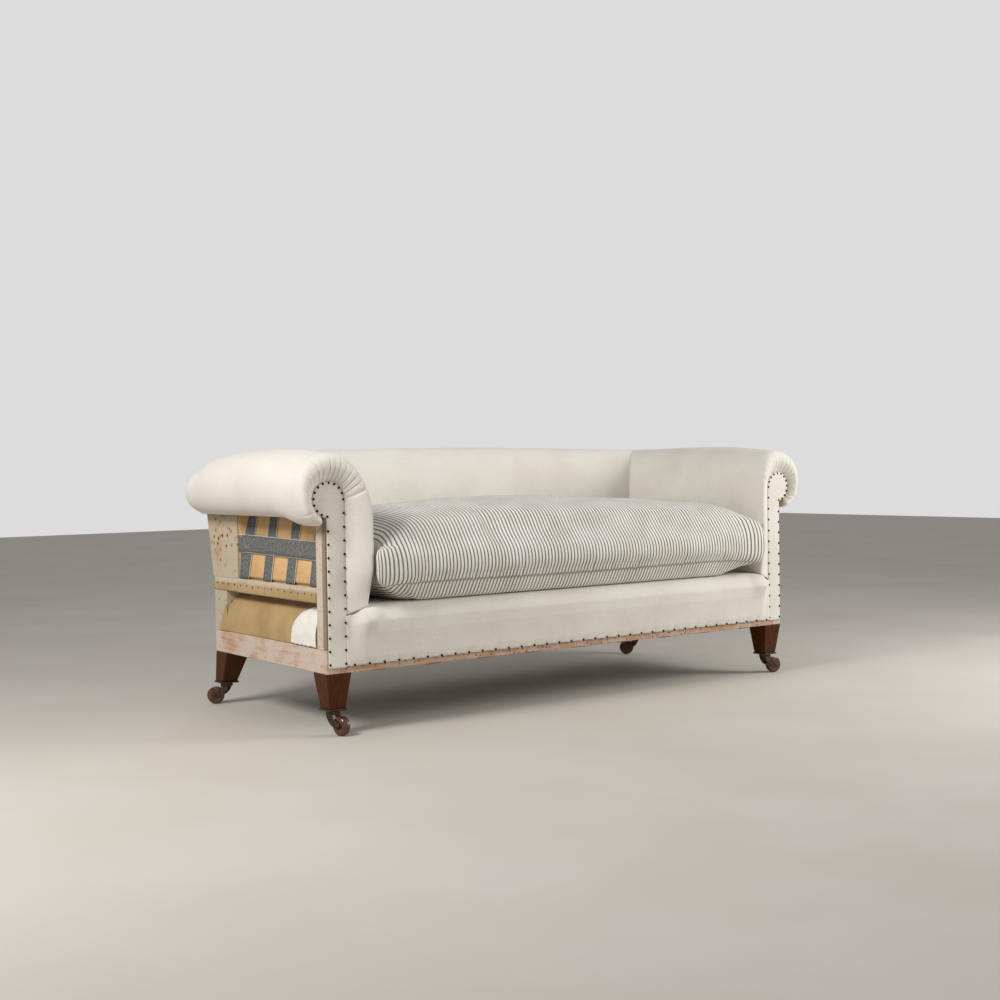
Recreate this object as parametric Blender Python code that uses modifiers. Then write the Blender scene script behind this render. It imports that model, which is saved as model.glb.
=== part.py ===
"""Rolled-arm chesterfield settee, stripped to its calico, modelled piece by piece.

Units are metres, +Z is up, +X runs to the right as seen from the front, and the front looks along -Y.
The origin is on the floor under the middle of the settee.
"""

import math
from collections import namedtuple

import bmesh
import bpy
from mathutils import Matrix, Vector

# Fits between pieces
FIT = 0.0003
EDGE_SOFTENING = 0.0015

# Castors
WHEEL_DIAMETER = 0.052
WHEEL_WIDTH = 0.022
WHEEL_SHOULDER = 0.004
AXLE_DIAMETER = 0.0066
AXLE_RUNNING_GAP = 0.0004
AXLE_HEAD_DIAMETER = 0.0105
AXLE_HEAD_THICKNESS = 0.0022
TRAIL = 0.034
CHEEK_THICKNESS = 0.004
CHEEK_RUNNING_GAP = 0.0015
CHEEK_TOP_WIDTH = 0.023
CHEEK_EYE_WIDTH = 0.017
CROWN_DIAMETER = 0.036
CROWN_THICKNESS = 0.0095
CROWN_CLEARANCE = 0.0022
PINTLE_DIAMETER = 0.0095
PINTLE_HEAD_DIAMETER = 0.0150
PINTLE_HEAD_THICKNESS = 0.0026
CASTOR_PLATE_SIZE = 0.055
CASTOR_PLATE_THICKNESS = 0.005
ROUND_SIDES = 20
WHEEL_SIDES = 26

# Swivel of each castor at rest, in degrees from +X
SWIVELS = {"front_left": -80.0, "front_right": -8.0, "rear_left": 135.0, "rear_right": 135.0}

# Legs
LEG_HEIGHT = 0.093
LEG_TOP = 0.074
LEG_FOOT = 0.049
REAR_LEG_RAKE = 0.048
LEG_SOFTENING = 0.0025

# Seat frame
FRAME_WIDTH = 1.704
FRAME_DEPTH = 0.660
SEAT_RAIL_HEIGHT = 0.063
SEAT_RAIL_THICKNESS = 0.040
RAIL_TENON_LENGTH = 0.022
RAIL_TENON_HEIGHT = 0.026
RAIL_TENON_THICKNESS = 0.016
CORNER_BLOCK_LEG = 0.072
CORNER_BLOCK_HEIGHT = 0.046

# Posts
POST_WIDTH = 0.056
POST_DEPTH = 0.048
POST_TENON_LENGTH = 0.024
POST_TENON_WIDTH = 0.026
POST_TENON_DEPTH = 0.022
SCROLL_RADIUS = 0.045
SCROLL_OUTSET = 0.035
BACK_POST_THICKNESS = 0.040
BACK_POST_FOOT = 0.078
BACK_POST_PLANK = 0.152
BACK_POST_RAKE = 0.052
BACK_POST_TENON_DEPTH = 0.050

# Upper rails
STUFFING_RAIL_GAP = 0.120
STUFFING_RAIL_HEIGHT = 0.038
STUFFING_RAIL_THICKNESS = 0.022
TOP_RAIL_HEIGHT = 0.042
TOP_RAIL_WIDTH = 0.048
BACK_TOP_RAIL_WIDTH = 0.037
UPPER_TENON_LENGTH = 0.018
UPPER_TENON_WIDTH = 0.012
UPPER_TENON_HEIGHT = 0.022

# Arms and back
ARM_HEIGHT = 0.517
ARM_OVERHANG = 0.080
ARM_THICKNESS = 0.210
ARM_CROWN = 0.008
BACK_OVERHANG = 0.107
BACK_THICKNESS = 0.172
BACK_CROWN = 0.015
SCROLL_DROP = 0.128
SHOULDER_DROP = 0.182
ROLL_MIDDLE_DROP = 0.094
ROLL_DEPTH = 0.190
ROLL_LIFT = 0.026
PAD_TUCK = 0.010
FRONT_BULGE = 0.024
SCROLL_BULGE = 0.022
FRONT_ROUNDING = 0.018
SCROLL_ROUNDING = 0.030
CORNER_CUT = 0.15
CORNER_ROUNDING = 0.10
PAD_FIT = 0.0006
FACING_THICKNESS = 0.003
FACING_WOOD_MARGIN = 0.012
FACING_INSET = 0.0015

# Seat suspension
WEBBING_WIDTH = 0.051
WEBBING_THICKNESS = 0.0022
SEAT_STRAP_COLUMNS = 9
SEAT_STRAP_SIDE_MARGIN = 0.124
SEAT_STRAP_ROWS = 3
SEAT_STRAP_ROW_MARGIN = 0.160
STRAP_END_MARGIN = 0.010
ARM_STRAPS = 4
ARM_STRAP_FRONT_MARGIN = 0.031
ARM_STRAP_REAR_MARGIN = 0.027
ARM_STRAP_BAND_HEIGHT = 0.250
BACK_STRAPS = 8
BACK_STRAP_SIDE_MARGIN = 0.147
SPRING_TURNS = 4.5
SPRING_FLAT_TURNS = 0.6
SPRING_POINTS_PER_TURN = 9
SPRING_WIRE = 0.004
SPRING_END_RADIUS = 0.046
SPRING_WAIST_RADIUS = 0.027

# Seat stuffing and cushion
CANVAS_THICKNESS = 0.002
SPRING_CANVAS_HEIGHT = 0.0575
DECK_HEIGHT = 0.1115
BORDER_TACK_HEIGHT = 0.026
BORDER_BULGE = 0.030
BORDER_BULGE_DROP = 0.0615
DECK_ROUNDING = 0.042
REAR_ROUNDING = 0.025
SEAT_ROLL_HEIGHT = 0.093
TAIL_RISE = 0.026
CUSHION_OVERHANG = 0.052
CUSHION_SIDE_GAP = 0.001
CUSHION_BACK_GAP = 0.010
CUSHION_LOW_SEAM = 0.042
CUSHION_TOP_SEAM = 0.178
CUSHION_HEIGHT = 0.266
CUSHION_SIDE_BULGE = 0.014
CUSHION_DRAW_IN = 0.008
CUSHION_CORNER = 0.005
CUSHION_CUTS = 11

# Heights above the floor
WHEEL_RADIUS = WHEEL_DIAMETER / 2
CROWN_BOTTOM = WHEEL_DIAMETER + CROWN_CLEARANCE
CROWN_TOP = CROWN_BOTTOM + CROWN_THICKNESS
CASTOR_PLATE_BOTTOM = CROWN_TOP + FIT
CASTOR_PLATE_TOP = CASTOR_PLATE_BOTTOM + CASTOR_PLATE_THICKNESS
LEG_BOTTOM = CASTOR_PLATE_TOP + FIT
LEG_TOP_HEIGHT = LEG_BOTTOM + LEG_HEIGHT
UNDERSIDE = LEG_TOP_HEIGHT + FIT
RAIL_TOP = UNDERSIDE + SEAT_RAIL_HEIGHT
DECK_TOP = RAIL_TOP + DECK_HEIGHT
PAD_BOTTOM = DECK_TOP + FIT
STUFFING_BOTTOM = RAIL_TOP + STUFFING_RAIL_GAP
STUFFING_TOP = STUFFING_BOTTOM + STUFFING_RAIL_HEIGHT
ROLL_TOP = RAIL_TOP + ARM_HEIGHT
SCROLL_HEIGHT = ROLL_TOP - SCROLL_DROP
TOP_RAIL_TOP = SCROLL_HEIGHT + TOP_RAIL_HEIGHT / 2
TOP_RAIL_BOTTOM = TOP_RAIL_TOP - TOP_RAIL_HEIGHT

# Plan places: half widths across, and distances from front to back
SIDE = FRAME_WIDTH / 2
FRONT = -(FRAME_DEPTH + BACK_OVERHANG - CUSHION_OVERHANG) / 2
REAR = FRONT + FRAME_DEPTH
RAIL_INNER = SIDE - SEAT_RAIL_THICKNESS
POST_INNER = SIDE - POST_WIDTH
POST_BACK = FRONT + POST_DEPTH
SCROLL_X = POST_INNER + SCROLL_RADIUS
ARM_FACE = SIDE + ARM_OVERHANG - ARM_THICKNESS
BACK_FACE = REAR + BACK_OVERHANG - BACK_THICKNESS
BACK_POST_INNER = SIDE - BACK_POST_THICKNESS
BACK_POST_FRONT = REAR - BACK_POST_PLANK
BACK_POST_REAR_TOP = REAR + BACK_POST_RAKE
TOP_RAIL_OUTER = SCROLL_X + TOP_RAIL_WIDTH / 2
TOP_RAIL_INNER = TOP_RAIL_OUTER - TOP_RAIL_WIDTH
BACK_TOP_RAIL_REAR = BACK_POST_REAR_TOP - FIT
BACK_TOP_RAIL_FRONT = BACK_TOP_RAIL_REAR - BACK_TOP_RAIL_WIDTH
BACK_STUFFING_REAR = REAR + FIT
BACK_STUFFING_FRONT = BACK_STUFFING_REAR - STUFFING_RAIL_THICKNESS
SPRING_SEAT = UNDERSIDE
SPRING_CANVAS_BOTTOM = RAIL_TOP + SPRING_CANVAS_HEIGHT
SPRING_CANVAS_TOP = SPRING_CANVAS_BOTTOM + CANVAS_THICKNESS
BORDER_HALF = POST_INNER - FACING_INSET

LEFT = -1
RIGHT = 1
SIDES = {"left": LEFT, "right": RIGHT}

Tenon = namedtuple("Tenon", "shoulder direction section length")


# Scene, materials and objects


def clear_scene():
    """Removes every object of the open scene."""
    for item in list(bpy.data.objects):
        bpy.data.objects.remove(item, do_unlink=True)


def make_collection(name):
    """Adds a collection under the scene's own."""
    group = bpy.data.collections.new(name)
    bpy.context.scene.collection.children.link(group)
    return group


def make_finish(name, colour, roughness, metallic=0.0):
    """Makes a Principled material of one colour."""
    finish = bpy.data.materials.new(name)
    finish.use_nodes = True
    shader = finish.node_tree.nodes["Principled BSDF"]
    shader.inputs["Base Color"].default_value = (*colour, 1.0)
    shader.inputs["Roughness"].default_value = roughness
    shader.inputs["Metallic"].default_value = metallic
    finish.diffuse_color = (*colour, 1.0)
    return finish


def add_part(name, mesh, finish, location=(0.0, 0.0, 0.0), parent=None):
    """Links a mesh to the settee's collection as a named piece."""
    part = bpy.data.objects.new(name, mesh)
    part.location = location
    part.parent = parent
    if not mesh.materials:
        mesh.materials.append(finish)
    settee.objects.link(part)
    return part


def add_cutter(name, mesh):
    """Links a mesh to the cutters' collection, hidden from the finished model."""
    cutter = bpy.data.objects.new(name, mesh)
    cutter.hide_render = True
    cutter.display_type = "WIRE"
    cutters.objects.link(cutter)
    return cutter


def combine(part, other, operation):
    """Joins or cuts a piece with another by an exact Boolean."""
    step = part.modifiers.new(f"{operation.lower()} {other.name}", "BOOLEAN")
    step.operation = operation
    step.solver = "EXACT"
    step.object = other


def finished_mesh(item, name):
    """Makes a mesh of an object as its modifiers leave it, with loose caps welded."""
    bpy.context.view_layer.update()
    seen = item.evaluated_get(bpy.context.evaluated_depsgraph_get())
    mesh = bpy.data.meshes.new_from_object(seen)
    mesh.name = name
    shape = bmesh.new()
    shape.from_mesh(mesh)
    bmesh.ops.remove_doubles(shape, verts=shape.verts, dist=1e-6)
    shape.to_mesh(mesh)
    shape.free()
    return mesh


def mesh_of(shape, name, smooth_angle=None):
    """Turns a bmesh into a mesh, shaded smooth below an angle where one is given."""
    bmesh.ops.recalc_face_normals(shape, faces=shape.faces)
    if shape.calc_volume(signed=True) < 0.0:
        bmesh.ops.reverse_faces(shape, faces=shape.faces)
    mesh = bpy.data.meshes.new(name)
    shape.to_mesh(mesh)
    shape.free()
    if smooth_angle:
        mesh.shade_smooth()
        mesh.set_sharp_from_angle(angle=math.radians(smooth_angle))
    return mesh


# Basic shapes


def box_shape(size, softening=0.0):
    """A box about its own centre, with edges chamfered by the softening."""
    shape = bmesh.new()
    bmesh.ops.create_cube(shape, size=1.0)
    bmesh.ops.scale(shape, vec=size, verts=shape.verts)
    if softening:
        bmesh.ops.bevel(shape, geom=shape.edges[:], offset=softening, segments=1, affect="EDGES")
    return shape


def cylinder_shape(diameter, low, high, sides=ROUND_SIDES):
    """An upright cylinder on the Z axis between two heights."""
    shape = bmesh.new()
    place = Matrix.Translation((0.0, 0.0, (low + high) / 2))
    bmesh.ops.create_cone(
        shape,
        cap_ends=True,
        segments=sides,
        radius1=diameter / 2,
        radius2=diameter / 2,
        depth=high - low,
        matrix=place,
    )
    return shape


def outline_shape(points, thickness, softening=0.0):
    """A flat plate cut to an outline in X and Y, centred on Z, with its rims chamfered by the softening."""
    curve = bpy.data.curves.new("outline", "CURVE")
    curve.dimensions = "2D"
    curve.fill_mode = "BOTH"
    curve.extrude = thickness / 2 - softening
    curve.bevel_depth = softening
    curve.bevel_resolution = 0
    curve.offset = -softening
    spline = curve.splines.new("POLY")
    spline.points.add(len(points) - 1)
    for spot, (across, along) in zip(spline.points, points):
        spot.co = (across, along, 0.0, 1.0)
    spline.use_cyclic_u = True
    drawn = bpy.data.objects.new("outline", curve)
    cutters.objects.link(drawn)
    mesh = finished_mesh(drawn, "plate")
    bpy.data.objects.remove(drawn, do_unlink=True)
    shape = bmesh.new()
    shape.from_mesh(mesh)
    bpy.data.meshes.remove(mesh)
    bmesh.ops.dissolve_limit(shape, angle_limit=math.radians(0.1), verts=[], edges=shape.edges)
    bmesh.ops.recalc_face_normals(shape, faces=shape.faces)
    return shape


def loft_shape(loops):
    """A closed skin over loops of equally many points, capped at both ends."""
    shape = bmesh.new()
    rows = [[shape.verts.new(point) for point in loop] for loop in loops]
    count = len(rows[0])
    for row, following in zip(rows, rows[1:]):
        for index in range(count):
            after = (index + 1) % count
            shape.faces.new((row[index], row[after], following[after], following[index]))
    shape.faces.new(rows[0])
    shape.faces.new(rows[-1])
    return shape


def arc(centre, half_width, half_height, start, stop, count):
    """Points along an upright ellipse, from one angle to another in degrees."""
    points = []
    for index in range(count + 1):
        angle = math.radians(start + (stop - start) * index / count)
        points.append(
            (centre[0] + half_width * math.cos(angle), centre[1] + half_height * math.sin(angle))
        )
    return points


def between(first, second, share):
    """The point at a share of the way from one to another."""
    return tuple(a + (b - a) * share for a, b in zip(first, second))


UPRIGHT_ACROSS = Matrix.Rotation(math.radians(90), 4, "X")
UPRIGHT_ALONG = Matrix(((0, 0, 1, 0), (1, 0, 0, 0), (0, 1, 0, 0), (0, 0, 0, 1)))


# Mortise and tenon joints


def add_tenon(shape, tenon, origin):
    """Draws a tenon out of the end face of a bar whose object sits at the origin given."""
    direction = Vector(tenon.direction)
    ends = [face for face in shape.faces if face.normal.dot(direction) > 0.99]
    face = max(ends, key=lambda end: end.calc_area())
    bmesh.ops.inset_individual(shape, faces=[face], thickness=EDGE_SOFTENING)
    centre = Vector(tenon.shoulder) - Vector(origin)
    middle = face.calc_center_median()
    for vert in face.verts:
        for axis in range(3):
            if not direction[axis]:
                sign = 1 if vert.co[axis] > middle[axis] else -1
                vert.co[axis] = centre[axis] + sign * tenon.section[axis] / 2
    drawn = bmesh.ops.extrude_discrete_faces(shape, faces=[face])["faces"][0]
    bmesh.ops.translate(shape, vec=direction * tenon.length, verts=drawn.verts)


def cut_mortise(part, tenon):
    """Cuts the pocket for a tenon, with the fit all round it."""
    direction = Vector(tenon.direction)
    reach = tenon.length + 2 * FIT
    start = Vector(tenon.shoulder) - direction * 2 * FIT
    size = Vector(
        tenon.section[axis] + 2 * FIT if not direction[axis] else reach + 2 * FIT for axis in range(3)
    )
    mesh = mesh_of(box_shape(size), f"mortise in {part.name}")
    cutter = add_cutter(mesh.name, mesh)
    cutter.location = start + direction * (reach + 2 * FIT) / 2
    combine(part, cutter, "DIFFERENCE")


def add_bar(name, low, high, finish, tenons=()):
    """A softened bar between two corners, with tenons on its ends."""
    low = Vector(low)
    high = Vector(high)
    centre = (low + high) / 2
    shape = box_shape(high - low, EDGE_SOFTENING)
    for tenon in tenons:
        add_tenon(shape, tenon, centre)
    return add_part(name, mesh_of(shape, name), finish, centre)


def seat_rail_tenon(side, middle):
    """The tenon of a front or back seat rail in a side rail, at a place along the side rail."""
    height = UNDERSIDE + EDGE_SOFTENING * 2 + RAIL_TENON_HEIGHT / 2
    return Tenon(
        (side * (RAIL_INNER - FIT), middle, height),
        (side, 0, 0),
        (0, RAIL_TENON_THICKNESS, RAIL_TENON_HEIGHT),
        RAIL_TENON_LENGTH,
    )


def post_tenon(side, middle, depth):
    """The tenon under a post, in the top of a side rail."""
    return Tenon(
        (side * (SIDE - SEAT_RAIL_THICKNESS / 2), middle, RAIL_TOP + FIT),
        (0, 0, -1),
        (POST_TENON_WIDTH, depth, 0),
        POST_TENON_LENGTH,
    )


def upper_tenon(shoulder, direction):
    """A stub tenon of a rail above the seat."""
    section = (0, UPPER_TENON_WIDTH, UPPER_TENON_HEIGHT)
    if direction[1]:
        section = (UPPER_TENON_WIDTH, 0, UPPER_TENON_HEIGHT)
    return Tenon(shoulder, direction, section, UPPER_TENON_LENGTH)


def arm_top_tenon(side, end):
    """The arm top rail's tenon: end -1 is in the front post, end 1 in the back post."""
    shoulder_y = POST_BACK + FIT if end < 0 else BACK_POST_FRONT - FIT
    across = (TOP_RAIL_OUTER + TOP_RAIL_INNER) / 2 if end < 0 else SIDE - BACK_POST_THICKNESS / 2
    return upper_tenon((side * across, shoulder_y, (TOP_RAIL_TOP + TOP_RAIL_BOTTOM) / 2), (0, end, 0))


def arm_stuffing_tenon(side):
    """The arm stuffing rail's tenon in the front post."""
    across = SIDE - STUFFING_RAIL_THICKNESS / 2
    middle = (STUFFING_TOP + STUFFING_BOTTOM) / 2
    return upper_tenon((side * across, POST_BACK + FIT, middle), (0, -1, 0))


def back_top_tenon(side):
    """The back top rail's tenon in a back post."""
    along = (BACK_TOP_RAIL_FRONT + BACK_TOP_RAIL_REAR) / 2
    middle = (TOP_RAIL_TOP + TOP_RAIL_BOTTOM) / 2
    return upper_tenon((side * (BACK_POST_INNER - FIT), along, middle), (side, 0, 0))


def back_stuffing_tenon(side):
    """The back stuffing rail's tenon in a back post."""
    along = (BACK_STUFFING_FRONT + BACK_STUFFING_REAR) / 2
    middle = (STUFFING_TOP + STUFFING_BOTTOM) / 2
    return upper_tenon((side * (BACK_POST_INNER - FIT), along, middle), (side, 0, 0))


# Frame


def add_seat_rails():
    """Side rails run the whole depth, and the front and back rails are tenoned between them."""
    places = {"front": FRONT + SEAT_RAIL_THICKNESS / 2, "back": REAR - SEAT_RAIL_THICKNESS / 2}
    for name, middle in places.items():
        low = (-RAIL_INNER + FIT, middle - SEAT_RAIL_THICKNESS / 2, UNDERSIDE)
        high = (RAIL_INNER - FIT, middle + SEAT_RAIL_THICKNESS / 2, RAIL_TOP)
        tenons = [seat_rail_tenon(side, middle) for side in SIDES.values()]
        add_bar(f"{name}_seat_rail", low, high, beech, tenons)
    for name, side in SIDES.items():
        outer = side * SIDE
        inner = side * RAIL_INNER
        low = (min(outer, inner), FRONT, UNDERSIDE)
        high = (max(outer, inner), REAR, RAIL_TOP)
        rail = add_bar(f"{name}_seat_rail", low, high, beech)
        for middle in places.values():
            cut_mortise(rail, seat_rail_tenon(side, middle))
        cut_mortise(rail, front_post_tenon(side))
        cut_mortise(rail, back_post_tenon(side))


def front_post_tenon(side):
    """The tenon under a front post."""
    return post_tenon(side, FRONT + POST_DEPTH / 2, POST_TENON_DEPTH)


def back_post_tenon(side):
    """The tenon under a back post."""
    return post_tenon(side, REAR - BACK_POST_FOOT / 2, BACK_POST_TENON_DEPTH)


def scroll_outline(outer, inner, bottom, radius):
    """A stem with a round scroll head that leans outwards, seen from the front of the right arm."""
    lean = min(max((outer - SCROLL_X) / radius, -1.0), 1.0)
    start = -math.degrees(math.acos(lean))
    head = arc((SCROLL_X, SCROLL_HEIGHT), radius, radius, start, 180.0, 22)
    return [(inner, bottom), (outer, bottom), *head]


def add_front_posts():
    """Each front post is a plank cut to the scroll of the arm."""
    for name, side in SIDES.items():
        outline = scroll_outline(SIDE, POST_INNER, RAIL_TOP + FIT, SCROLL_RADIUS)
        mirrored = [(side * across, up) for across, up in outline]
        shape = outline_shape(mirrored, POST_DEPTH, EDGE_SOFTENING)
        shape.transform(UPRIGHT_ACROSS)
        shape.normal_update()
        place = Vector((0.0, FRONT + POST_DEPTH / 2, 0.0))
        add_tenon(shape, front_post_tenon(side), place)
        post = add_part(f"{name}_front_post", mesh_of(shape, f"{name}_front_post", 30), beech, place)
        cut_mortise(post, arm_top_tenon(side, -1))
        cut_mortise(post, arm_stuffing_tenon(side))


def back_post_outline():
    """A raked post seen from the side, with a wide plank above the stuffing rail."""
    foot_front = REAR - BACK_POST_FOOT
    return [
        (foot_front, RAIL_TOP + FIT),
        (REAR - FIT, RAIL_TOP + FIT),
        (REAR + FIT, STUFFING_BOTTOM),
        (BACK_POST_REAR_TOP, TOP_RAIL_BOTTOM),
        (BACK_POST_REAR_TOP, TOP_RAIL_TOP),
        (BACK_POST_FRONT, TOP_RAIL_TOP),
        (BACK_POST_FRONT, STUFFING_TOP),
        (foot_front, STUFFING_BOTTOM),
    ]


def add_back_posts():
    """Each back post is notched outside for the arm's stuffing rail."""
    for name, side in SIDES.items():
        shape = outline_shape(back_post_outline(), BACK_POST_THICKNESS, EDGE_SOFTENING)
        shape.transform(UPRIGHT_ALONG)
        shape.normal_update()
        place = Vector((side * (SIDE - BACK_POST_THICKNESS / 2), 0.0, 0.0))
        add_tenon(shape, back_post_tenon(side), place)
        post = add_part(f"{name}_back_post", mesh_of(shape, f"{name}_back_post"), beech, place)
        notch_size = (
            2 * (STUFFING_RAIL_THICKNESS + FIT),
            2 * FRAME_DEPTH,
            STUFFING_RAIL_HEIGHT + 2 * FIT,
        )
        notch_mesh = mesh_of(box_shape(notch_size), f"notch in {name}_back_post")
        notch = add_cutter(notch_mesh.name, notch_mesh)
        notch.location = (side * SIDE, REAR, (STUFFING_TOP + STUFFING_BOTTOM) / 2)
        combine(post, notch, "DIFFERENCE")
        cut_mortise(post, arm_top_tenon(side, 1))
        cut_mortise(post, back_top_tenon(side))
        cut_mortise(post, back_stuffing_tenon(side))


def add_arm_rails():
    """The stuffing rail and the top rail of each arm."""
    for name, side in SIDES.items():
        across = sorted((side * SIDE, side * (SIDE - STUFFING_RAIL_THICKNESS)))
        low = (across[0], POST_BACK + FIT, STUFFING_BOTTOM)
        high = (across[1], REAR, STUFFING_TOP)
        add_bar(f"{name}_arm_stuffing_rail", low, high, beech, [arm_stuffing_tenon(side)])
        across = sorted((side * TOP_RAIL_OUTER, side * TOP_RAIL_INNER))
        low = (across[0], POST_BACK + FIT, TOP_RAIL_BOTTOM)
        high = (across[1], BACK_POST_FRONT - FIT, TOP_RAIL_TOP)
        tenons = [arm_top_tenon(side, -1), arm_top_tenon(side, 1)]
        add_bar(f"{name}_arm_top_rail", low, high, beech, tenons)


def add_back_rails():
    """The stuffing rail and the top rail of the back."""
    reach = BACK_POST_INNER - FIT
    low = (-reach, BACK_STUFFING_FRONT, STUFFING_BOTTOM)
    high = (reach, BACK_STUFFING_REAR, STUFFING_TOP)
    tenons = [back_stuffing_tenon(side) for side in SIDES.values()]
    add_bar("back_stuffing_rail", low, high, beech, tenons)
    low = (-reach, BACK_TOP_RAIL_FRONT, TOP_RAIL_BOTTOM)
    high = (reach, BACK_TOP_RAIL_REAR, TOP_RAIL_TOP)
    tenons = [back_top_tenon(side) for side in SIDES.values()]
    add_bar("back_top_rail", low, high, beech, tenons)


def add_corner_blocks():
    """A triangular block glued into each front corner of the seat frame."""
    tip = CORNER_BLOCK_LEG * 0.2
    for name, side in SIDES.items():
        outline = [
            (0.0, 0.0),
            (-side * CORNER_BLOCK_LEG, 0.0),
            (-side * CORNER_BLOCK_LEG, tip),
            (-side * tip, CORNER_BLOCK_LEG),
            (0.0, CORNER_BLOCK_LEG),
        ]
        shape = outline_shape(outline, CORNER_BLOCK_HEIGHT)
        corner = (
            side * (RAIL_INNER - FIT),
            FRONT + SEAT_RAIL_THICKNESS + FIT,
            (UNDERSIDE + RAIL_TOP) / 2,
        )
        mesh = mesh_of(shape, f"{name}_corner_block")
        add_part(f"{name}_corner_block", mesh, beech, corner)


# Legs and castors


def leg_centre(corner):
    """Where a leg stands, as a side, an end and a point on the floor plan."""
    end, side_name = corner.split("_")
    side = SIDES[side_name]
    along = FRONT + LEG_TOP / 2 if end == "front" else REAR - LEG_TOP / 2
    return end, Vector((side * (SIDE - LEG_TOP / 2), along, 0.0))


def pintle_axis(corner):
    """The floor point under a castor's swivel, below the foot of its leg."""
    end, centre = leg_centre(corner)
    rake = REAR_LEG_RAKE if end == "rear" else 0.0
    return centre + Vector((0.0, rake, 0.0))


def add_leg(corner):
    """A square leg that tapers to its castor, raked back at the rear."""
    end, centre = leg_centre(corner)
    shape = box_shape((LEG_TOP, LEG_TOP, LEG_HEIGHT))
    shift = pintle_axis(corner) - centre
    for vert in shape.verts:
        if vert.co.z < 0.0:
            vert.co.x *= LEG_FOOT / LEG_TOP
            vert.co.y = vert.co.y * LEG_FOOT / LEG_TOP + shift.y
    bmesh.ops.bevel(
        shape,
        geom=shape.edges[:],
        offset=LEG_SOFTENING,
        segments=2,
        affect="EDGES",
        profile=0.5,
    )
    name = f"{corner}_leg"
    place = centre + Vector((0.0, 0.0, (LEG_BOTTOM + LEG_TOP_HEIGHT) / 2))
    add_part(name, mesh_of(shape, name, 40), mahogany, place)


def castor_plate_mesh():
    """A square plate with the riveted pintle that the horn turns on."""
    base_shape = box_shape((CASTOR_PLATE_SIZE, CASTOR_PLATE_SIZE, CASTOR_PLATE_THICKNESS), EDGE_SOFTENING)
    middle = (CASTOR_PLATE_BOTTOM + CASTOR_PLATE_TOP) / 2
    base_shape.transform(Matrix.Translation((0.0, 0.0, middle)))
    base = add_cutter("castor plate blank", mesh_of(base_shape, "castor plate blank"))
    pin_bottom = CROWN_BOTTOM - FIT - PINTLE_HEAD_THICKNESS
    pin_shape = cylinder_shape(PINTLE_DIAMETER, pin_bottom + FIT, middle)
    pin = add_cutter("pintle pin", mesh_of(pin_shape, "pintle pin"))
    head_shape = cylinder_shape(PINTLE_HEAD_DIAMETER, pin_bottom, CROWN_BOTTOM - FIT)
    head = add_cutter("pintle head", mesh_of(head_shape, "pintle head"))
    combine(base, pin, "UNION")
    combine(base, head, "UNION")
    mesh = finished_mesh(base, "castor_plate")
    mesh.materials.clear()
    return mesh


def cheek_outline():
    """The curved horn of a cheek seen from the side, from under the crown to the axle's eye."""
    top = Vector((0.0, (CROWN_BOTTOM + CROWN_TOP) / 2))
    eye = Vector((TRAIL, WHEEL_RADIUS))
    knee = Vector((TRAIL * 0.10, WHEEL_RADIUS + (top.y - eye.y) * 0.25))
    steps = 8
    heel_side = []
    toe_side = []
    for index in range(steps):
        share = index / steps
        spot = top * (1 - share) ** 2 + knee * 2 * share * (1 - share) + eye * share**2
        run = (knee - top) * (1 - share) + (eye - knee) * share
        square = Vector((-run.y, run.x)).normalized()
        half = (CHEEK_TOP_WIDTH + (CHEEK_EYE_WIDTH - CHEEK_TOP_WIDTH) * share) / 2
        toe_side.append(tuple(spot + square * half))
        heel_side.append(tuple(spot - square * half))
    last = eye - knee
    heading = math.degrees(math.atan2(last.y, last.x))
    tip = arc(tuple(eye), CHEEK_EYE_WIDTH / 2, CHEEK_EYE_WIDTH / 2, heading - 90, heading + 90, 10)
    return heel_side + tip + toe_side[::-1]


def horn_mesh():
    """The forged horn: a crown on the pintle and two curved cheeks that hold the axle."""
    crown_shape = cylinder_shape(CROWN_DIAMETER, CROWN_BOTTOM, CROWN_TOP)
    crown = add_cutter("castor crown", mesh_of(crown_shape, "castor crown"))
    offset = WHEEL_WIDTH / 2 + CHEEK_RUNNING_GAP + CHEEK_THICKNESS / 2
    for side in SIDES.values():
        shape = outline_shape(cheek_outline(), CHEEK_THICKNESS, CHEEK_THICKNESS / 5)
        shape.transform(Matrix.Translation((0.0, side * offset, 0.0)) @ UPRIGHT_ACROSS)
        cheek = add_cutter(f"castor cheek {side}", mesh_of(shape, f"castor cheek {side}"))
        combine(crown, cheek, "UNION")
    bore_shape = cylinder_shape(PINTLE_DIAMETER + 3 * FIT, 0.0, LEG_BOTTOM)
    bore = add_cutter("pintle bore", mesh_of(bore_shape, "pintle bore"))
    combine(crown, bore, "DIFFERENCE")
    eye_shape = cylinder_shape(AXLE_DIAMETER + 3 * FIT, -CASTOR_PLATE_SIZE, CASTOR_PLATE_SIZE)
    eye_shape.transform(Matrix.Translation((TRAIL, 0.0, WHEEL_RADIUS)) @ UPRIGHT_ACROSS)
    eye = add_cutter("axle eye", mesh_of(eye_shape, "axle eye"))
    combine(crown, eye, "DIFFERENCE")
    mesh = finished_mesh(crown, "castor_horn")
    mesh.materials.clear()
    mesh.shade_smooth()
    mesh.set_sharp_from_angle(angle=math.radians(30))
    return mesh


def profile_mesh(name, points, closed):
    """A profile in X and Z to be turned about Z."""
    shape = bmesh.new()
    verts = [shape.verts.new((across, 0.0, up)) for across, up in points]
    pairs = list(zip(verts, verts[1:]))
    if closed:
        pairs.append((verts[-1], verts[0]))
    for pair in pairs:
        shape.edges.new(pair)
    mesh = bpy.data.meshes.new(name)
    shape.to_mesh(mesh)
    shape.free()
    return mesh


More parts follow.
